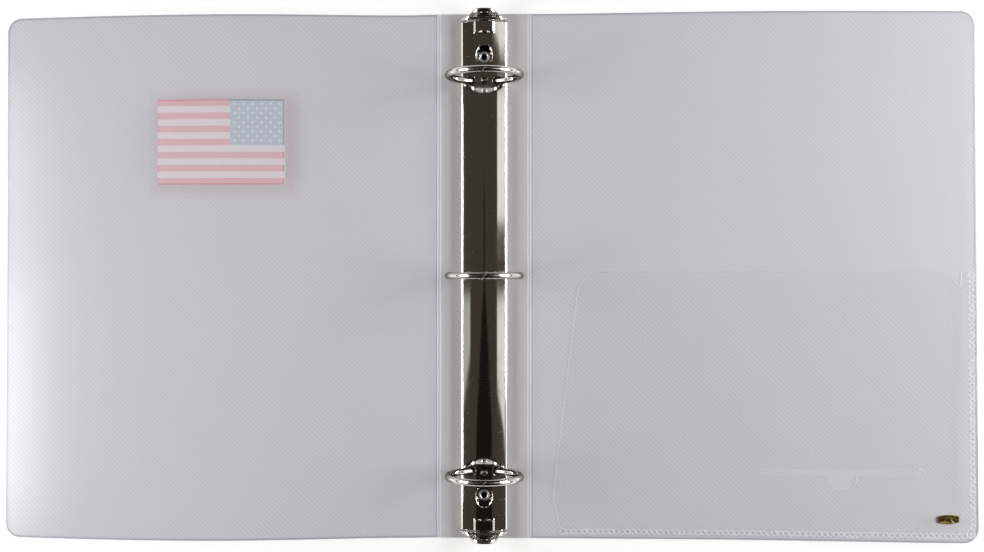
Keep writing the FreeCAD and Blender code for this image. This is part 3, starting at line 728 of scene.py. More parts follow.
def makeCover(name, side, lift, body):
    r = cover["cornerRadius"]
    inner, outer = coverLow.x, coverHigh.x
    corner = arc(outer - r, halfHeight - r, r, 0, 90, 10)
    half = corner + [(inner, halfHeight)]
    loop = dense(half + [(x, -y) for x, y in reversed(half)], cover["step"])
    if side < 0:
        loop = [(-x, y) for x, y in reversed(loop)]
    profile = [(cover["border"], coverHigh.z)] + roundEdge(coverLow.z, coverHigh.z, cover["edgeRound"])
    mesh = slab([loop], profile + [(cover["border"], coverLow.z)], cover["step"], lift, 1, 2)
    # the border stops at the fold, where the sheet goes on
    for face in mesh.faces:
        if face.material_index == 1 and abs(face.calc_center_median().x) < inner + 2 * cover["border"]:
            face.material_index = 0
    finishes = [frostedFinish, edgeFinish, underFinish]
    addPiece(name + "_sheet", mesh, finishes, [name], body)


makeCover("front_cover", -1, frontLift, "front_cover_set")
makeCover("back_cover", 1, backLift, "back_cover_set")
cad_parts["spine_panel"].material_slots[0].material = spineShadedFinish
print("covers bowed by", round(bow["frontRise"] / mm, 1), "and", round(bow["backRise"] / mm, 1), "mm")


# the folds: a thin web between two whitened ridges
fold = {"halfWidth": 1.12 * mm, "top": 2.12 * mm, "ridgeOffset": 0.82 * mm, "ridgeWidth": 0.34 * mm,
        "ridgeRise": 0.16 * mm, "columns": 32}


def makeFold(name):
    low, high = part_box(name)
    middle = (low.x + high.x) / 2

    def rise(x):
        away = abs(abs(x - middle) - fold["ridgeOffset"]) / fold["ridgeWidth"]
        return fold["ridgeRise"] * max(0, 1 - away * away) ** 2

    mesh = bmesh.new()
    xs = spread(middle - fold["halfWidth"], middle + fold["halfWidth"], fold["columns"])
    ys = (low.y, high.y)
    top = [[mesh.verts.new((x, y, fold["top"] + rise(x))) for x in xs] for y in ys]
    bottom = [[mesh.verts.new((x, y, low.z)) for x in xs] for y in ys]
    for i, x in enumerate(xs[1:]):
        ridge = int(rise((x + xs[i]) / 2) > 0)
        for a, b in ((top[0], top[1]), (bottom[1], bottom[0]), (bottom[0], top[0]), (top[1], bottom[1])):
            mesh.faces.new((a[i], a[i + 1], b[i + 1], b[i])).material_index = ridge if a is top[0] else 2
    for i in (0, -1):
        mesh.faces.new((top[0][i], bottom[0][i], bottom[1][i], top[1][i]))
    finishes = [frostedFinish, creaseFinish, underFinish]
    piece = addPiece(name + "_strip", mesh, finishes, [name])
    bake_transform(piece)


makeFold("front_hinge_web")
makeFold("back_hinge_web")


def makeEmblemFinish(name, inks):
    f = newFinish(name)
    low, high = emblemBox()
    where = f.where()
    x, y = f.axes(where, "XY")
    width, height = high.x - low.x, high.y - low.y
    stripe = ((high.y - y) * (emblem["stripes"] / height)).floor()
    isWhite = stripe.calc("FLOORED_MODULO", stripe, 2)
    cantonLeft = high.x - width * emblem["cantonShare"]
    cantonFoot = high.y - height * emblem["cantonStripes"] / emblem["stripes"]
    inCanton = (x > cantonLeft) * (y > cantonFoot)
    edge = (x - low.x).least(high.x - x).least((y - low.y).least(high.y - y))
    atRim = 1 - edge.ease(emblem["rim"] * emblem["rimSoft"], emblem["rim"])
    grain = f.noise(where, emblem["speckScale"], 2)
    red = f.tint(atRim, inks["red"], inks["rimRed"])
    blue = f.tint(atRim, inks["blue"], inks["rimBlue"])
    striped = f.tint(isWhite, red, inks["white"])
    colour = f.tint(inCanton, striped, blue)
    printed = f.tint(grain * emblem["speckShare"], colour, emblem["speck"])
    smooth, rough = emblem["roughness"]
    # the glow is painted light on the print
    return f.principled(Base_Color=printed, Roughness=smooth + grain * rough, Emission_Color=printed,
                        Emission_Strength=inks["glow"], Normal=f.bump(grain, *emblem["relief"]))


def addStar(mesh, x, y, base, tip):
    ring = []
    corners = 2 * emblem["starPoints"]
    for i in range(corners):
        radius = emblem["starRadius"] * (emblem["starInner"] if i % 2 else 1)
        a = math.tau * i / corners + math.pi / 2
        ring.append((x + radius * math.cos(a), y + radius * math.sin(a)))
    foot = [mesh.verts.new(frontLift(px, py, base)) for px, py in ring]
    crown = [mesh.verts.new(frontLift(px, py, tip)) for px, py in ring]
    faces = [mesh.faces.new(foot), mesh.faces.new(crown)]
    faces += [mesh.faces.new((foot[i - 1], foot[i], crown[i], crown[i - 1])) for i in range(corners)]
    for face in faces:
        face.material_index = 1


def makeEmblem():
    low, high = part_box("flag_emblem")
    high.x += emblem["grown"][0]
    high.y += emblem["grown"][1]
    # heights where the sheet lies flat, which the bow then lifts
    high.z = coverLow.z - emblem["glue"]
    low.z = high.z - emblem["thickness"]
    rise = emblem["starRise"]
    corners = [(low.x, low.y), (high.x, low.y), (high.x, high.y), (low.x, high.y)]
    profile = roundEdge(low.z + rise, high.z, emblem["edgeRound"])
    mesh = slab([dense(corners, emblem["step"])], profile, emblem["step"], frontLift)
    width = (high.x - low.x) * emblem["cantonShare"]
    height = (high.y - low.y) * emblem["cantonStripes"] / emblem["stripes"]
    for row in range(emblem["starRows"]):
        for column in range(emblem["starColumns"]):
            if (row + column) % 2 == 0:
                x = high.x - width + width * (column + 1) / (emblem["starColumns"] + 1)
                y = high.y - height * (row + 1) / (emblem["starRows"] + 1)
                addStar(mesh, x, y, high.z - rise, high.z + rise)
                addStar(mesh, x, y, low.z, low.z + 2 * rise)
    # the face against the cover shows the print through its own milky sheet and glows with painted light
    for face in mesh.faces:
        if face.material_index == 0 and face.normal.z > 0.5:
            face.material_index = 2
    finishes = [makeEmblemFinish("emblemFront", emblem["front"]), makeGrained("emblemStarPaintedGlow", star),
                makeEmblemFinish("emblemBackPaintedGlow", emblem["back"])]
    addPiece("emblem_plate", mesh, finishes, ["flag_emblem"], "front_cover_set")


makeEmblem()
print("emblem plate with", emblem["stripes"], "stripes")


# the pocket film, with a raised bead along its cut edges
pocket = {
    "topStart": 27.8 * mm,
    "waistStart": 12.8 * mm,
    "waistHeight": 22.8 * mm,
    "footStart": 16.9 * mm,
    "footHeight": 5.5 * mm,
    "topRadius": 14.5 * mm,
    "cornerRadius": 6.4 * mm,
    "waistRadius": 9 * mm,
    "reliefStart": 18.1 * mm,
    "reliefEnd": 10.5 * mm,
    "reliefDepth": 7.1 * mm,
    "tabStart": 9.1 * mm,
    "slotLength": 88.8 * mm,
    "slotWidth": 4.1 * mm,
    "slotInset": 73.95 * mm,
    "slotHeight": 37.8 * mm,
    "thumbRadius": 8.1 * mm,
    "beadWidth": 0.6 * mm,
    "beadRise": 0.16 * mm,
    # across the bead, as shares of its width and rise
    "beadTop": [(1, 0), (0.7, 0.8), (0.4, 1), (0.12, 0.6)],
    "beadFoot": 0.12,
    "step": 6 * mm,
}


# rounds the corner at b of the path a, b, c
def rounded(a, b, c, radius, count=8):
    a, b, c = Vector(a), Vector(b), Vector(c)
    first, second = (a - b).normalized(), (c - b).normalized()
    half = first.angle(second) / 2
    along = radius / math.tan(half)
    centre = b + (first + second).normalized() * (radius / math.sin(half))
    start, end = b + first * along - centre, b + second * along - centre
    turn = start.angle_signed(end)
    return [tuple(centre + Matrix.Rotation(-turn * i / count, 2) @ start) for i in range(count + 1)]


def pocketLoops(low, high):
    p = pocket
    floor = coverLow.y
    foot = (foldX + p["footStart"], low.y)
    outerFoot = (high.x, low.y)
    shin = (foldX + p["footStart"], floor + p["footHeight"])
    waist = (foldX + p["waistStart"], floor + p["waistHeight"])
    shoulder = (foldX + p["topStart"], high.y)
    relief = (coverHigh.x - p["reliefStart"], high.y)
    outer = [foot]
    outer += rounded(foot, outerFoot, (high.x, high.y), p["cornerRadius"])
    outer += [(high.x, high.y), (coverHigh.x - p["tabStart"], high.y)]
    outer += [(coverHigh.x - p["tabStart"], high.y - p["reliefDepth"])]
    outer += [(coverHigh.x - p["reliefEnd"], high.y - p["reliefDepth"]), relief]
    outer += rounded(relief, shoulder, waist, p["topRadius"], 12)
    outer += rounded(shoulder, waist, shin, p["waistRadius"], 6)
    outer += [shin]
    half = p["slotWidth"] / 2
    reach = p["slotLength"] / 2 - half
    x, y = coverHigh.x - p["slotInset"], floor + p["slotHeight"]
    slot = arc(x + reach, y, half, -90, 90, 8) + arc(x - reach, y, half, 90, 270, 8)
    slot += arc(x, y - half, p["thumbRadius"], 180, 360, 16)
    return [dense(outer, p["step"]), list(reversed(dense(slot, p["step"])))]


def makePocket():
    low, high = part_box("pocket_sheet")
    wide, rise = pocket["beadWidth"], pocket["beadRise"]
    edge = [(wide * across, high.z + rise * up) for across, up in pocket["beadTop"]]
    edge += [(0, (low.z + high.z) / 2), (wide * pocket["beadFoot"], low.z), (wide, low.z)]
    mesh = slab(pocketLoops(low, high), edge, pocket["step"], backLift, 1)
    addPiece("pocket_film", mesh, [filmFinish, beadHighlightFinish], ["pocket_sheet"], "back_cover_set")


makePocket()


# the welded seams: a chain of loops pressed through the film, with larger ones at the ends
weld = {
    "pitch": 3.0 * mm,
    "loopRadius": 1.28 * mm,
    "wire": 0.42 * mm,
    "endRadius": 1.6 * mm,
    "cornerRadius": 2.3 * mm,
    "cornerShift": 0.5,
    "proud": 0.16 * mm,
    "segments": 20,
    "sides": 8,
}
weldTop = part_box("pocket_sheet")[1].z + weld["proud"]


def addLoop(mesh, x, y, radius, low):
    middle, half = (low + weldTop) / 2, (weldTop - low) / 2
    rings = []
    for i in range(weld["segments"]):
        a = math.tau * i / weld["segments"]
        ring = []
        for j in range(weld["sides"]):
            b = math.tau * j / weld["sides"]
            reach = radius + weld["wire"] * math.cos(b)
            px, py = x + reach * math.cos(a), y + reach * math.sin(a)
            ring.append(mesh.verts.new(backLift(px, py, middle + half * math.sin(b))))
        rings.append(ring)
    for a, b in zip(rings, rings[1:] + rings[:1]):
        for j in range(weld["sides"]):
            mesh.faces.new((a[j - 1], b[j - 1], b[j], a[j]))


def makeWeld(name, start, end):
    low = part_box(name)[0]
    mesh = bmesh.new()
    along = Vector(end) - Vector(start)
    count = round(along.length / weld["pitch"])
    for i in range(count + 1):
        x, y = Vector(start) + along * (i / count)
        addLoop(mesh, x, y, weld["endRadius"] if i == 0 else weld["loopRadius"], low.z)
    return mesh


def makeWelds():
    low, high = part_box("pocket_bottom_weld")
    sideLow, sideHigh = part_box("pocket_side_weld")
    y, x = (low.y + high.y) / 2, (sideLow.x + sideHigh.x) / 2
    end = weld["endRadius"]
    shift = weld["cornerRadius"] * weld["cornerShift"]
    corner = (x - shift, y + shift)
    clear = weld["cornerRadius"] + weld["loopRadius"]
    bottom = makeWeld("pocket_bottom_weld", (low.x + end, y), (corner[0] - clear, y))
    for radius in (weld["cornerRadius"], weld["wire"]):
        addLoop(bottom, *corner, radius, low.z)
    side = makeWeld("pocket_side_weld", (x, sideHigh.y - end), (x, corner[1] + clear))
    for name, mesh in (("pocket_bottom_weld", bottom), ("pocket_side_weld", side)):
        addPiece(name + "_chain", mesh, [weldFinish], [name], "back_cover_set", sharp=80)


makeWelds()
print("pocket film welded with", weld["pitch"] / mm, "mm loops")


# the bare foil label, barrel shaped, with a raised border
label = {"endShare": 0.62, "border": 0.55 * mm, "borderRise": 0.05 * mm, "foot": 0.02 * mm, "turn": 2.0,
         "shift": (-1.0 * mm, 0.7 * mm), "rimShares": (0.8, 0.3), "rimStep": 0.7 * mm, "step": 0.8 * mm}


def makeLabel():
    low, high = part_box("foil_label")
    middle = (low + high) / 2
    halfWidth, half = (high.x - low.x) / 2, (high.y - low.y) / 2
    end = half * label["endShare"]
    bulge = half - end
    radius = archRadius(halfWidth, bulge)
    span = math.degrees(math.asin(halfWidth / radius))
    top = arc(0, half - radius, radius, 90 - span, 90 + span, 16)
    loop = dense(top + [(-x, -y) for x, y in top], label["rimStep"])
    turn = Matrix.Rotation(math.radians(label["turn"]), 2)
    placed = [tuple(turn @ Vector(p) + middle.xy + Vector(label["shift"])) for p in loop]
    edge, raised = label["border"], high.z + label["borderRise"]
    rim = [(edge, high.z)] + [(edge * share, raised) for share in label["rimShares"]]
    rim += [(0, (low.z + high.z) / 2), (label["foot"], low.z)]
    mesh = slab([placed], rim, label["step"], backLift)
    addPiece("label_foil", mesh, [foilFinish], ["foil_label"], "back_cover_set")


makeLabel()


# the ring housing, drawn from one strip: arched crown, turned-in lips, raised ends, rivet dishes,
# dimples and leg slots
housing = {
    "crownRise": 3.0 * mm,
    "steel": 0.8 * mm,
    "shoulderRadius": 1.3 * mm,
    "footRadius": 0.7 * mm,
    "lipHeight": 2.1 * mm,
    "lipDepth": 3.0 * mm,
    "humpRise": 1.2 * mm,
    "humpHalf": 5.3 * mm,
    "humpLength": 6.0 * mm,
    "humpEdge": 0.45 * mm,
    "dishDepth": 2.6 * mm,
    "dishHalfWidth": 4.7 * mm,
    "dishInwards": 5.3 * mm,
    "dishOutwards": 7.2 * mm,
    "dishFloor": 0.78,
    "dishRamp": 0.22,
    "dimpleDepth": 0.7 * mm,
    "dimpleRadius": 2.3 * mm,
    "slotInner": 4.65 * mm,
    "slotOuter": 11.65 * mm,
    "slotHalf": 2.35 * mm,
    "rivetHole": 2.35 * mm,
    "fine": 0.32 * mm,
    "coarse": 3.5 * mm,
    # how far the fine rows go past each pressed form, and the columns up to the slots, the hump's edge
    # and the shoulder
    "pastHump": 1.2 * mm,
    "pastDish": 0.6 * mm,
    "pastDimple": 0.5 * mm,
    "beforeSlot": 0.6 * mm,
    "besideHump": 0.9 * mm,
    "columns": (10, 14, 15),
    "wallMargin": 0.2 * mm,
}
housingLow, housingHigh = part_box("ring_housing")
rivetY = (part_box("top_rivet")[0].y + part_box("top_rivet")[1].y) / 2
ringYs = (-ringPitch, 0, ringPitch)
crownTop = housingHigh.z - housing["humpRise"]
crownBend = archRadius(housingHigh.x, housing["crownRise"])
crownCentre = crownTop - crownBend


def crownAt(x):
    return crownCentre + math.sqrt(crownBend ** 2 - x ** 2)


def housingSection():
    half = housingHigh.x
    r, foot = housing["shoulderRadius"], housing["footRadius"]
    # the shoulder arc lies inside the crown's arc and the wall
    sx = half - r
    sz = crownCentre + math.sqrt((crownBend - r) ** 2 - sx ** 2)
    meet = math.degrees(math.atan2(sz - crownCentre, sx))
    crownEnd = crownBend * math.cos(math.radians(meet))
    lip = half - housing["lipDepth"]
    stops = [0, housing["slotInner"] - housing["beforeSlot"], housing["humpHalf"] + housing["besideHump"]]
    stops.append(crownEnd)
    xs = [0]
    for start, end, count in zip(stops, stops[1:], housing["columns"]):
        xs += spread(start, end, count)[1:]
    points = [(x, crownAt(x)) for x in xs]
    points += arc(sx, sz, r, meet, 0, 8)[1:]
    low = housingLow.z
    points += arc(half - foot, low + foot, foot, 0, -90, 5)
    points += [(lip + foot, low)] + arc(lip + foot, low + foot, foot, 270, 180, 5)[1:]
    points += [(lip, low + housing["lipHeight"])]
    return [(-x, z) for x, z in reversed(points[1:])] + points


def housingRows():
    marks = []
    for sign in (-1, 1):
        half = housing["humpLength"] / 2
        marks.append((sign * (housingHigh.y - half), half + housing["pastHump"]))
        marks.append((sign * rivetY, housing["dishOutwards"] + housing["pastDish"]))
    marks += [(y, housing["dimpleRadius"] + housing["pastDimple"]) for y in ringYs]
    rows, y = [housingLow.y], housingLow.y
    while y < housingHigh.y - tiny:
        near = any(abs(y + housing["fine"] - mark) < reach for mark, reach in marks)
        ahead = min([mark - reach - y for mark, reach in marks if mark - reach > y + tiny], default=1)
        y += housing["fine"] if near else min(housing["coarse"], max(ahead, housing["fine"]))
        y = min(y, housingHigh.y)
        rows.append(y)
    return rows


def pressed(x, y):
    away = abs(x)
    edge = housing["humpEdge"]
    hump = 1 - ease(away, housing["humpHalf"] - edge, housing["humpHalf"] + edge)
    start = housingHigh.y - housing["humpLength"]
    rise = housing["humpRise"] * hump * ease(abs(y), start - edge, start + edge)
    outwards = abs(y) - rivetY
    length = housing["dishOutwards"] if outwards > 0 else housing["dishInwards"]
    out = min(abs(outwards) / length, 1)
    # the dish has a flat floor between steep sides, and ramps gently up outwards, away from the rings
    side = max(housing["dishHalfWidth"] * math.sqrt(1 - out * out), tiny)
    wall = 1 - ease(away, side * housing["dishFloor"], side)
    ramp = 1 - ease(out, housing["dishRamp"] if outwards > 0 else housing["dishFloor"], 1.0)
    rise -= housing["dishDepth"] * wall * ramp
    for ringY in ringYs:
        r = math.hypot(x, y - ringY) / housing["dimpleRadius"]
        rise -= housing["dimpleDepth"] * max(0, 1 - r * r) ** 2
    return rise


# signed distance to the nearest leg slot or rivet hole, and the point on its edge
def holeEdge(x, y):
    half = housing["slotHalf"]
    middle = min(max(abs(x), housing["slotInner"] + half), housing["slotOuter"] - half)
    holes = [(middle, ringY, half) for ringY in ringYs]
    holes += [(0, side * rivetY, housing["rivetHole"]) for side in (-1, 1)]
    best = None
    for holeX, holeY, radius in holes:
        dx, dy = abs(x) - holeX, y - holeY
        away = math.hypot(dx, dy)
        if best is None or away - radius < best[0]:
            scale = radius / away if away > 1e-9 else 0
            best = (away - radius, math.copysign(holeX + dx * scale, x), holeY + dy * scale)
    return best


def makeHousing():
    section, rows = housingSection(), housingRows()
    crownFoot, wall = crownTop - housing["crownRise"], housingHigh.x - housing["wallMargin"]
    mesh = bmesh.new()
    grid, hollow = [], {}
    for y in rows:
        line = []
        for x, z in section:
            px, py, pz = x, y, z
            inHole = False
            if z > crownFoot and abs(x) < wall:
                gap, ex, ey = holeEdge(x, y)
                inHole = gap < 0
                if inHole:
                    px, py, pz = ex, ey, crownAt(ex)
                pz += pressed(px, py)
            vertex = mesh.verts.new((px, py, pz))
            hollow[vertex] = inHole
            line.append(vertex)
        grid.append(line)
    for lower, upper in zip(grid, grid[1:]):
        for i in range(len(section) - 1):
            corners = (lower[i], lower[i + 1], upper[i + 1], upper[i])
            if not all(hollow[c] for c in corners):
                mesh.faces.new(corners)
    for vertex in [v for v in mesh.verts if not v.link_faces]:
        mesh.verts.remove(vertex)
    bmesh.ops.remove_doubles(mesh, verts=mesh.verts, dist=tiny)
    nodes = ["ring_housing"]
    piece = addPiece("housing_strip", mesh, [housingFinish], nodes, "spine_set", sharp=50)
    shell = piece.modifiers.new("steel", "SOLIDIFY")
    shell.thickness = housing["steel"]
    shell.offset = -1


makeHousing()
print("housing drawn", round((housingHigh.y - housingLow.y) / mm), "mm long")


# the opening levers: an arched band that wraps the housing's end and sweeps up into a thumb tab,
# on an arm with two trunnions and a finger
lever = {
    # in mm along Y from the band's inner edge: (outwards, height, half width, crown, its power, ear drop)
    "stations": [
        (0.0, 8.9, 12.5, 2.4, 2.0, 2.6),
        (0.35, 9.55, 12.85, 2.4, 2.0, 2.4),
        (1.0, 9.9, 12.85, 2.4, 2.0, 2.2),
        (1.7, 10.0, 12.3, 2.4, 2.0, 1.8),
        (2.1, 10.8, 10.4, 2.4, 2.0, 0.8),
        (2.45, 12.2, 8.8, 2.8, 2.2, 0.3),
        (2.85, 13.8, 8.1, 3.2, 2.6, 0.0),
        (3.35, 14.7, 7.8, 3.4, 3.0, 0.0),
        (4.1, 15.1, 7.5, 3.5, 3.0, 0.0),
        (4.8, 15.3, 7.0, 3.4, 3.0, 0.0),
        (5.3, 15.3, 6.3, 3.2, 3.0, 0.0),
        (5.55, 15.05, 5.5, 3.0, 3.0, 0.0),
    ],
    "gap": 0.7 * mm,
    "ears": (0.72, 1.05),
    "sheet": 1.1 * mm,
    "columns": 20,
    "rowsBetween": 3,
    "armRoot": 1.2 * mm,
    "armTop": 0.9 * mm,
    "armRound": 0.25 * mm,
    "armStep": 4 * mm,
    "armWidth": 6.0 * mm,
    "armBoss": 1.7 * mm,
    "pivotInset": 3.0 * mm,
    "pivotHeight": 6.2 * mm,
    "trunnion": 0.9 * mm,
    "trunnionReach": 5.3 * mm,
    "trunnionEase": 0.2,
    "trunnionSides": 24,
    "fingerReach": 6.5 * mm,
    "fingerLow": 2.9 * mm,
    "fingerHigh": 4.1 * mm,
}


# a smooth curve through stations, with a cubic between each two
def throughStations(stations, between):
    rows = []
    last = len(stations) - 1
    for i in range(last):
        quad = [stations[j] for j in (max(i - 1, 0), i, i + 1, min(i + 2, last))]
        for step in range(between):
            t = step / between
            row = []
            for a, b, c, d in zip(*quad):
                square, cube = 2 * a - 5 * b + 4 * c - d, 3 * b - a - 3 * c + d
                row.append(0.5 * (2 * b + (c - a) * t + square * t ** 2 + cube * t ** 3))
            rows.append(row)
    return rows + [list(stations[-1])]


def makeLever(name, sign):
    pivotY = housingHigh.y - lever["pivotInset"]
    bandStart = housingHigh.y + lever["gap"]
    mesh = bmesh.new()
    grid = []
    stations = throughStations(lever["stations"], lever["rowsBetween"])
    for outwards, height, halfWidth, crown, power, ear in stations:
        row = []
        for u in spread(-1, 1, lever["columns"]):
            drop = crown * abs(u) ** power + ear * ease(abs(u), *lever["ears"])
            spot = (u * halfWidth * mm, bandStart + outwards * mm, (height - drop) * mm)
            row.append(mesh.verts.new(spot))
        grid.append(row)
    for lower, upper in zip(grid, grid[1:]):
        for i in range(lever["columns"]):
            mesh.faces.new((lower[i], lower[i + 1], upper[i + 1], upper[i]))
    bmesh.ops.recalc_face_normals(mesh, faces=mesh.faces)
    bmesh.ops.solidify(mesh, geom=mesh.faces[:], thickness=lever["sheet"])
    boss, pivotZ = lever["armBoss"], lever["pivotHeight"]
    inner = pivotY - lever["fingerReach"]
    root = bandStart + lever["armRoot"]
    side = [
        (inner, lever["fingerLow"]),
        (pivotY - boss, lever["fingerLow"]),
        (pivotY + boss / 2, pivotZ - boss),
        (root, pivotZ - boss / 3),
        (root, crownTop - lever["armTop"]),
        (pivotY - boss, pivotZ + boss),
        (pivotY - 2 * boss, lever["fingerHigh"]),
        (inner, lever["fingerHigh"]),
    ]
    half = lever["armWidth"] / 2
    arm = slab([side], roundEdge(-half, half, lever["armRound"]), lever["armStep"])
    turned = Matrix(((0, 0, 1, 0), (1, 0, 0, 0), (0, 1, 0, 0), (0, 0, 0, 1)))
    bmesh.ops.transform(arm, matrix=turned, verts=arm.verts)
    reach, pin = lever["trunnionReach"], lever["trunnion"]
    eased = pin * lever["trunnionEase"]
    end = [(pin, reach - eased), (pin - eased, reach), (0, reach)]
    ends = [(r, -height) for r, height in reversed(end)] + end
    across = Matrix.Translation((0, pivotY, pivotZ)) @ Matrix.Rotation(math.pi / 2, 4, "Y")
    lathe(arm, ends, lever["trunnionSides"], False, across)
    joinInto(mesh, arm)
    if sign < 0:
        bmesh.ops.rotate(mesh, verts=mesh.verts, matrix=Matrix.Rotation(math.pi, 3, "Z"))
    addPiece(name + "_stamping", mesh, [leverFinish], [name], name + "_set", sharp=55)


makeLever("top_lever", 1)
makeLever("bottom_lever", -1)


# tubular rivets with a flat outer head and a rolled flare in the dish
rivet = {
    "bore": 1.75 * mm,
    "crimp": 0.12 * mm,
    "shank": 2.25 * mm,
    "headHeight": 1.0 * mm,
    "headRound": 0.45 * mm,
    "footHeight": 0.3 * mm,
    "flare": 0.62 * mm,
    "flareSquash": 0.62,
    "neck": 0.2 * mm,
    "segments": 40,
}


def makeRivet(name):
    low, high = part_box(name)
    middle = (low + high) / 2
    head = (high.x - low.x) / 2
    headTop = low.z + rivet["headHeight"]
    curve, roll, squash = rivet["headRound"], rivet["flare"], rivet["flareSquash"]
    edge = arc(head - curve, low.z + curve, curve, -90, 0, 6)
    lip = arc(rivet["bore"] + roll, high.z - roll * squash, roll, -20, 180, 14)
    lip = [(r, high.z - (high.z - z) * squash) for r, z in lip]
    profile = [(rivet["bore"], headTop + rivet["headHeight"]), (rivet["crimp"], headTop)]
    profile += [(rivet["crimp"], low.z + rivet["footHeight"]), (rivet["bore"], low.z)] + edge
    profile += [(head, headTop), (rivet["shank"], headTop)]
    profile += [(rivet["shank"], lip[0][1] - rivet["neck"])] + lip
    mesh = bmesh.new()
    lathe(mesh, profile, rivet["segments"], True, Matrix.Translation((middle.x, middle.y, 0)))
    # the faces inside the tube take the painted shade
    for face in mesh.faces:
        inBore = (face.calc_center_median().xy - middle.xy).length < rivet["bore"]
        face.material_index = int(inBore)
    finishes = [rivetFinish, boreShadeFinish]
    addPiece(name + "_tube", mesh, finishes, [name], "spine_set", sharp=50)


makeRivet("top_rivet")
makeRivet("bottom_rivet")


# the ring halves and hinge plates are the part's own, and the rings' tips are eased
ringTip = {"width": 0.2 * mm, "segments": 2, "sharperThan": 50}
for name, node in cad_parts.items():
    if "_ring_" in name:
        node.material_slots[0].material = wireFinish
        eased = node.modifiers.new("easedTip", "BEVEL")
        eased.width = ringTip["width"]
        eased.segments = ringTip["segments"]
        eased.angle_limit = math.radians(ringTip["sharperThan"])
    elif name.endswith("hinge_plate"):
        node.material_slots[0].material = steelFinish
print("ring metal dressed")


# a pale floor that shows white and keeps the shadow
stage = {"size": 6.0, "floor": -0.2 * mm, "glow": 0.55, "lit": (0.48, 0.48, 0.48, 1),
         "bounce": (0.8, 0.8, 0.8, 1)}


def makeFloor():
    f = newFinish("paleFloor")
    path = [f.node("ShaderNodeLightPath", out=name)
            for name in ("Is Camera Ray", "Is Glossy Ray", "Is Transmission Ray")]
    seen = path[0].most(path[1]).most(path[2])
    plain = f.node("ShaderNodeBsdfDiffuse", None, {"Color": stage["bounce"]})
    lit = f.node("ShaderNodeBsdfDiffuse", None, {"Color": stage["lit"]})
    glow = f.node("ShaderNodeEmission", None, {"Strength": stage["glow"]})
    shown = f.node("ShaderNodeAddShader", None, {0: lit, 1: glow})
    f.surface(f.node("ShaderNodeMixShader", None, {0: seen, 1: plain, 2: shown}))
    size = stage["size"] / 2
    mesh = bmesh.new()
    corners = [(-size, -size), (size, -size), (size, size), (-size, size)]
    mesh.faces.new([mesh.verts.new((x, y, stage["floor"])) for x, y in corners])
    floor = newObject("floor", mesh, [f.owner])


makeFloor()


# a studio with long white walls, left and right, a few windows in its dark ceiling and a darker stand
# over the camera; a slope is X over Z, and along is Y over the reach in X and Z
studio = {
    "dark": (0.05, 0.041, 0.032, 1),
    "wall": (1.0, 0.985, 0.96, 1),
    # side, slope where it starts, slope where it is full, how bright
    "walls": [(1, 1.14, 1.3, 1.5), (-1, 1.14, 1.3, 1.5), (1, 4.0, 8.0, -1.4), (-1, 4.0, 8.0, -1.4)],
    "wallReach": (0.45, 0.8),
    # side, slope where it starts at one end and at the other, along from and to, how bright
    "windows": [
        (1, 1.0, 0.52, -0.15, -0.012, 0.76),
        (1, 0.53, 0.53, 0.048, 0.165, 0.82),
        (1, 0.68, 0.3, 0.196, 0.25, 0.85),
        (-1, 1.0, 0.57, -0.11, -0.012, 0.4),
    ],
    "windowEnd": (1.02, 1.1),
    "windowSoft": 0.006,
    "windowCrisp": 20,
    # half width of the stand as a slope: at its top, how much wider per along, and at most
    "stand": (0.03, 2.2, 0.32),
    "standTop": (0.06, 0.1),
    "standCrisp": 60,
    "standShade": 0.8,
    "dusk": (0.4, 0.9),
    "horizon": 0.02,
}


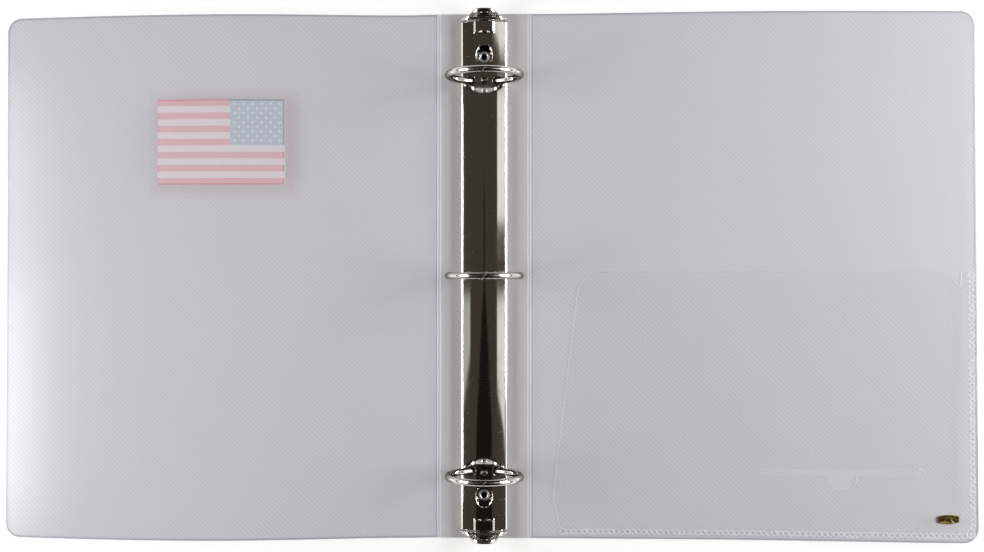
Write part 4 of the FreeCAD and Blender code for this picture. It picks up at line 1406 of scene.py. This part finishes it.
def makeWorld():
    world = bpy.data.worlds.new("studio")
    scene.world = world
    f = Finish(world)
    x, y, z = f.axes(f.where("Generated"))
    slope = x / z.most(studio["horizon"])
    along = y / ((x * x + z * z) ** 0.5).most(studio["horizon"])
    reach = 1 - abs(along).ease(*studio["wallReach"])
    glow = 0.0
    for side, start, full, level in studio["walls"]:
        glow = glow + (slope * side).ease(start, full) * reach * level
    soft = studio["windowSoft"]
    for side, nearStart, farStart, near, far, level in studio["windows"]:
        span = along.ease(near - soft, near + soft) - along.ease(far - soft, far + soft)
        start = nearStart + along.ease(near, (near + far) / 2) * (farStart - nearStart)
        within = ((slope * side - start) * studio["windowCrisp"]).least(1).most(0)
        ended = (slope * side).ease(*studio["windowEnd"])
        glow = glow + within * (1 - ended) * span * level
    narrow, widening, widest = studio["stand"]
    halfWidth = (narrow - along.least(0) * widening).least(widest)
    stand = ((halfWidth - abs(slope)) * studio["standCrisp"]).least(1).most(0)
    stand = stand * (1 - along.ease(*studio["standTop"]))
    lit = f.node("ShaderNodeBackground", None, {"Color": studio["wall"], "Strength": glow})
    shade = (1 - stand * studio["standShade"]) * (1 - abs(along).ease(*studio["dusk"]) * studio["standShade"])
    dim = f.node("ShaderNodeBackground", None, {"Color": studio["dark"], "Strength": shade})
    f.surface(f.node("ShaderNodeAddShader", None, {0: lit, 1: dim}), "ShaderNodeOutputWorld")


makeWorld()
lamps = {
    "leftPanel": {"at": (-0.72, -0.03, 0.44), "size": (0.5, 0.3), "power": 3.92, "aim": (0, -0.03, 0)},
    "rightPanel": {"at": (0.72, 0.11, 0.44), "size": (0.5, 0.3), "power": 5.5, "aim": (0, 0.11, 0)},
    "lowPanel": {"at": (-0.5505, -0.1, 0.36), "size": (0.095, 0.2), "power": 0.42, "aim": (-0.5505, -0.1, 0)},
}


def makeLamp(name, facts):
    data = bpy.data.lights.new(name, "AREA")
    data.shape = "RECTANGLE"
    data.size, data.size_y = facts["size"]
    data.energy = facts["power"]
    lamp = bpy.data.objects.new(name, data)
    lamp.location = facts["at"]
    lamp.rotation_euler = (Vector(facts["aim"]) - Vector(facts["at"])).to_track_quat("-Z", "Y").to_euler()
    scene.collection.objects.link(lamp)


for name, facts in lamps.items():
    makeLamp(name, facts)


# looking down on the open album, almost square to it
view = {
    "at": (-0.8 * mm, -1.3 * mm, 647.4 * mm),
    "turnDegrees": (0.18, 1.81, 0.01),
    "lens": 42.29,
    "sensor": 36.0,
    "clipStart": 0.01,
    "frameWidth": 984,
    "offCentre": (45.8, -1.5),
}


def makeCamera():
    data = bpy.data.cameras.new("camera")
    data.lens = view["lens"]
    data.sensor_width = view["sensor"]
    data.shift_x, data.shift_y = (pixels / view["frameWidth"] for pixels in view["offCentre"])
    data.clip_start = view["clipStart"]
    camera = bpy.data.objects.new("camera", data)
    camera.location = view["at"]
    camera.rotation_euler = [math.radians(a) for a in view["turnDegrees"]]
    scene.collection.objects.link(camera)
    scene.camera = camera


makeCamera()
print("stage, lamps and camera set")
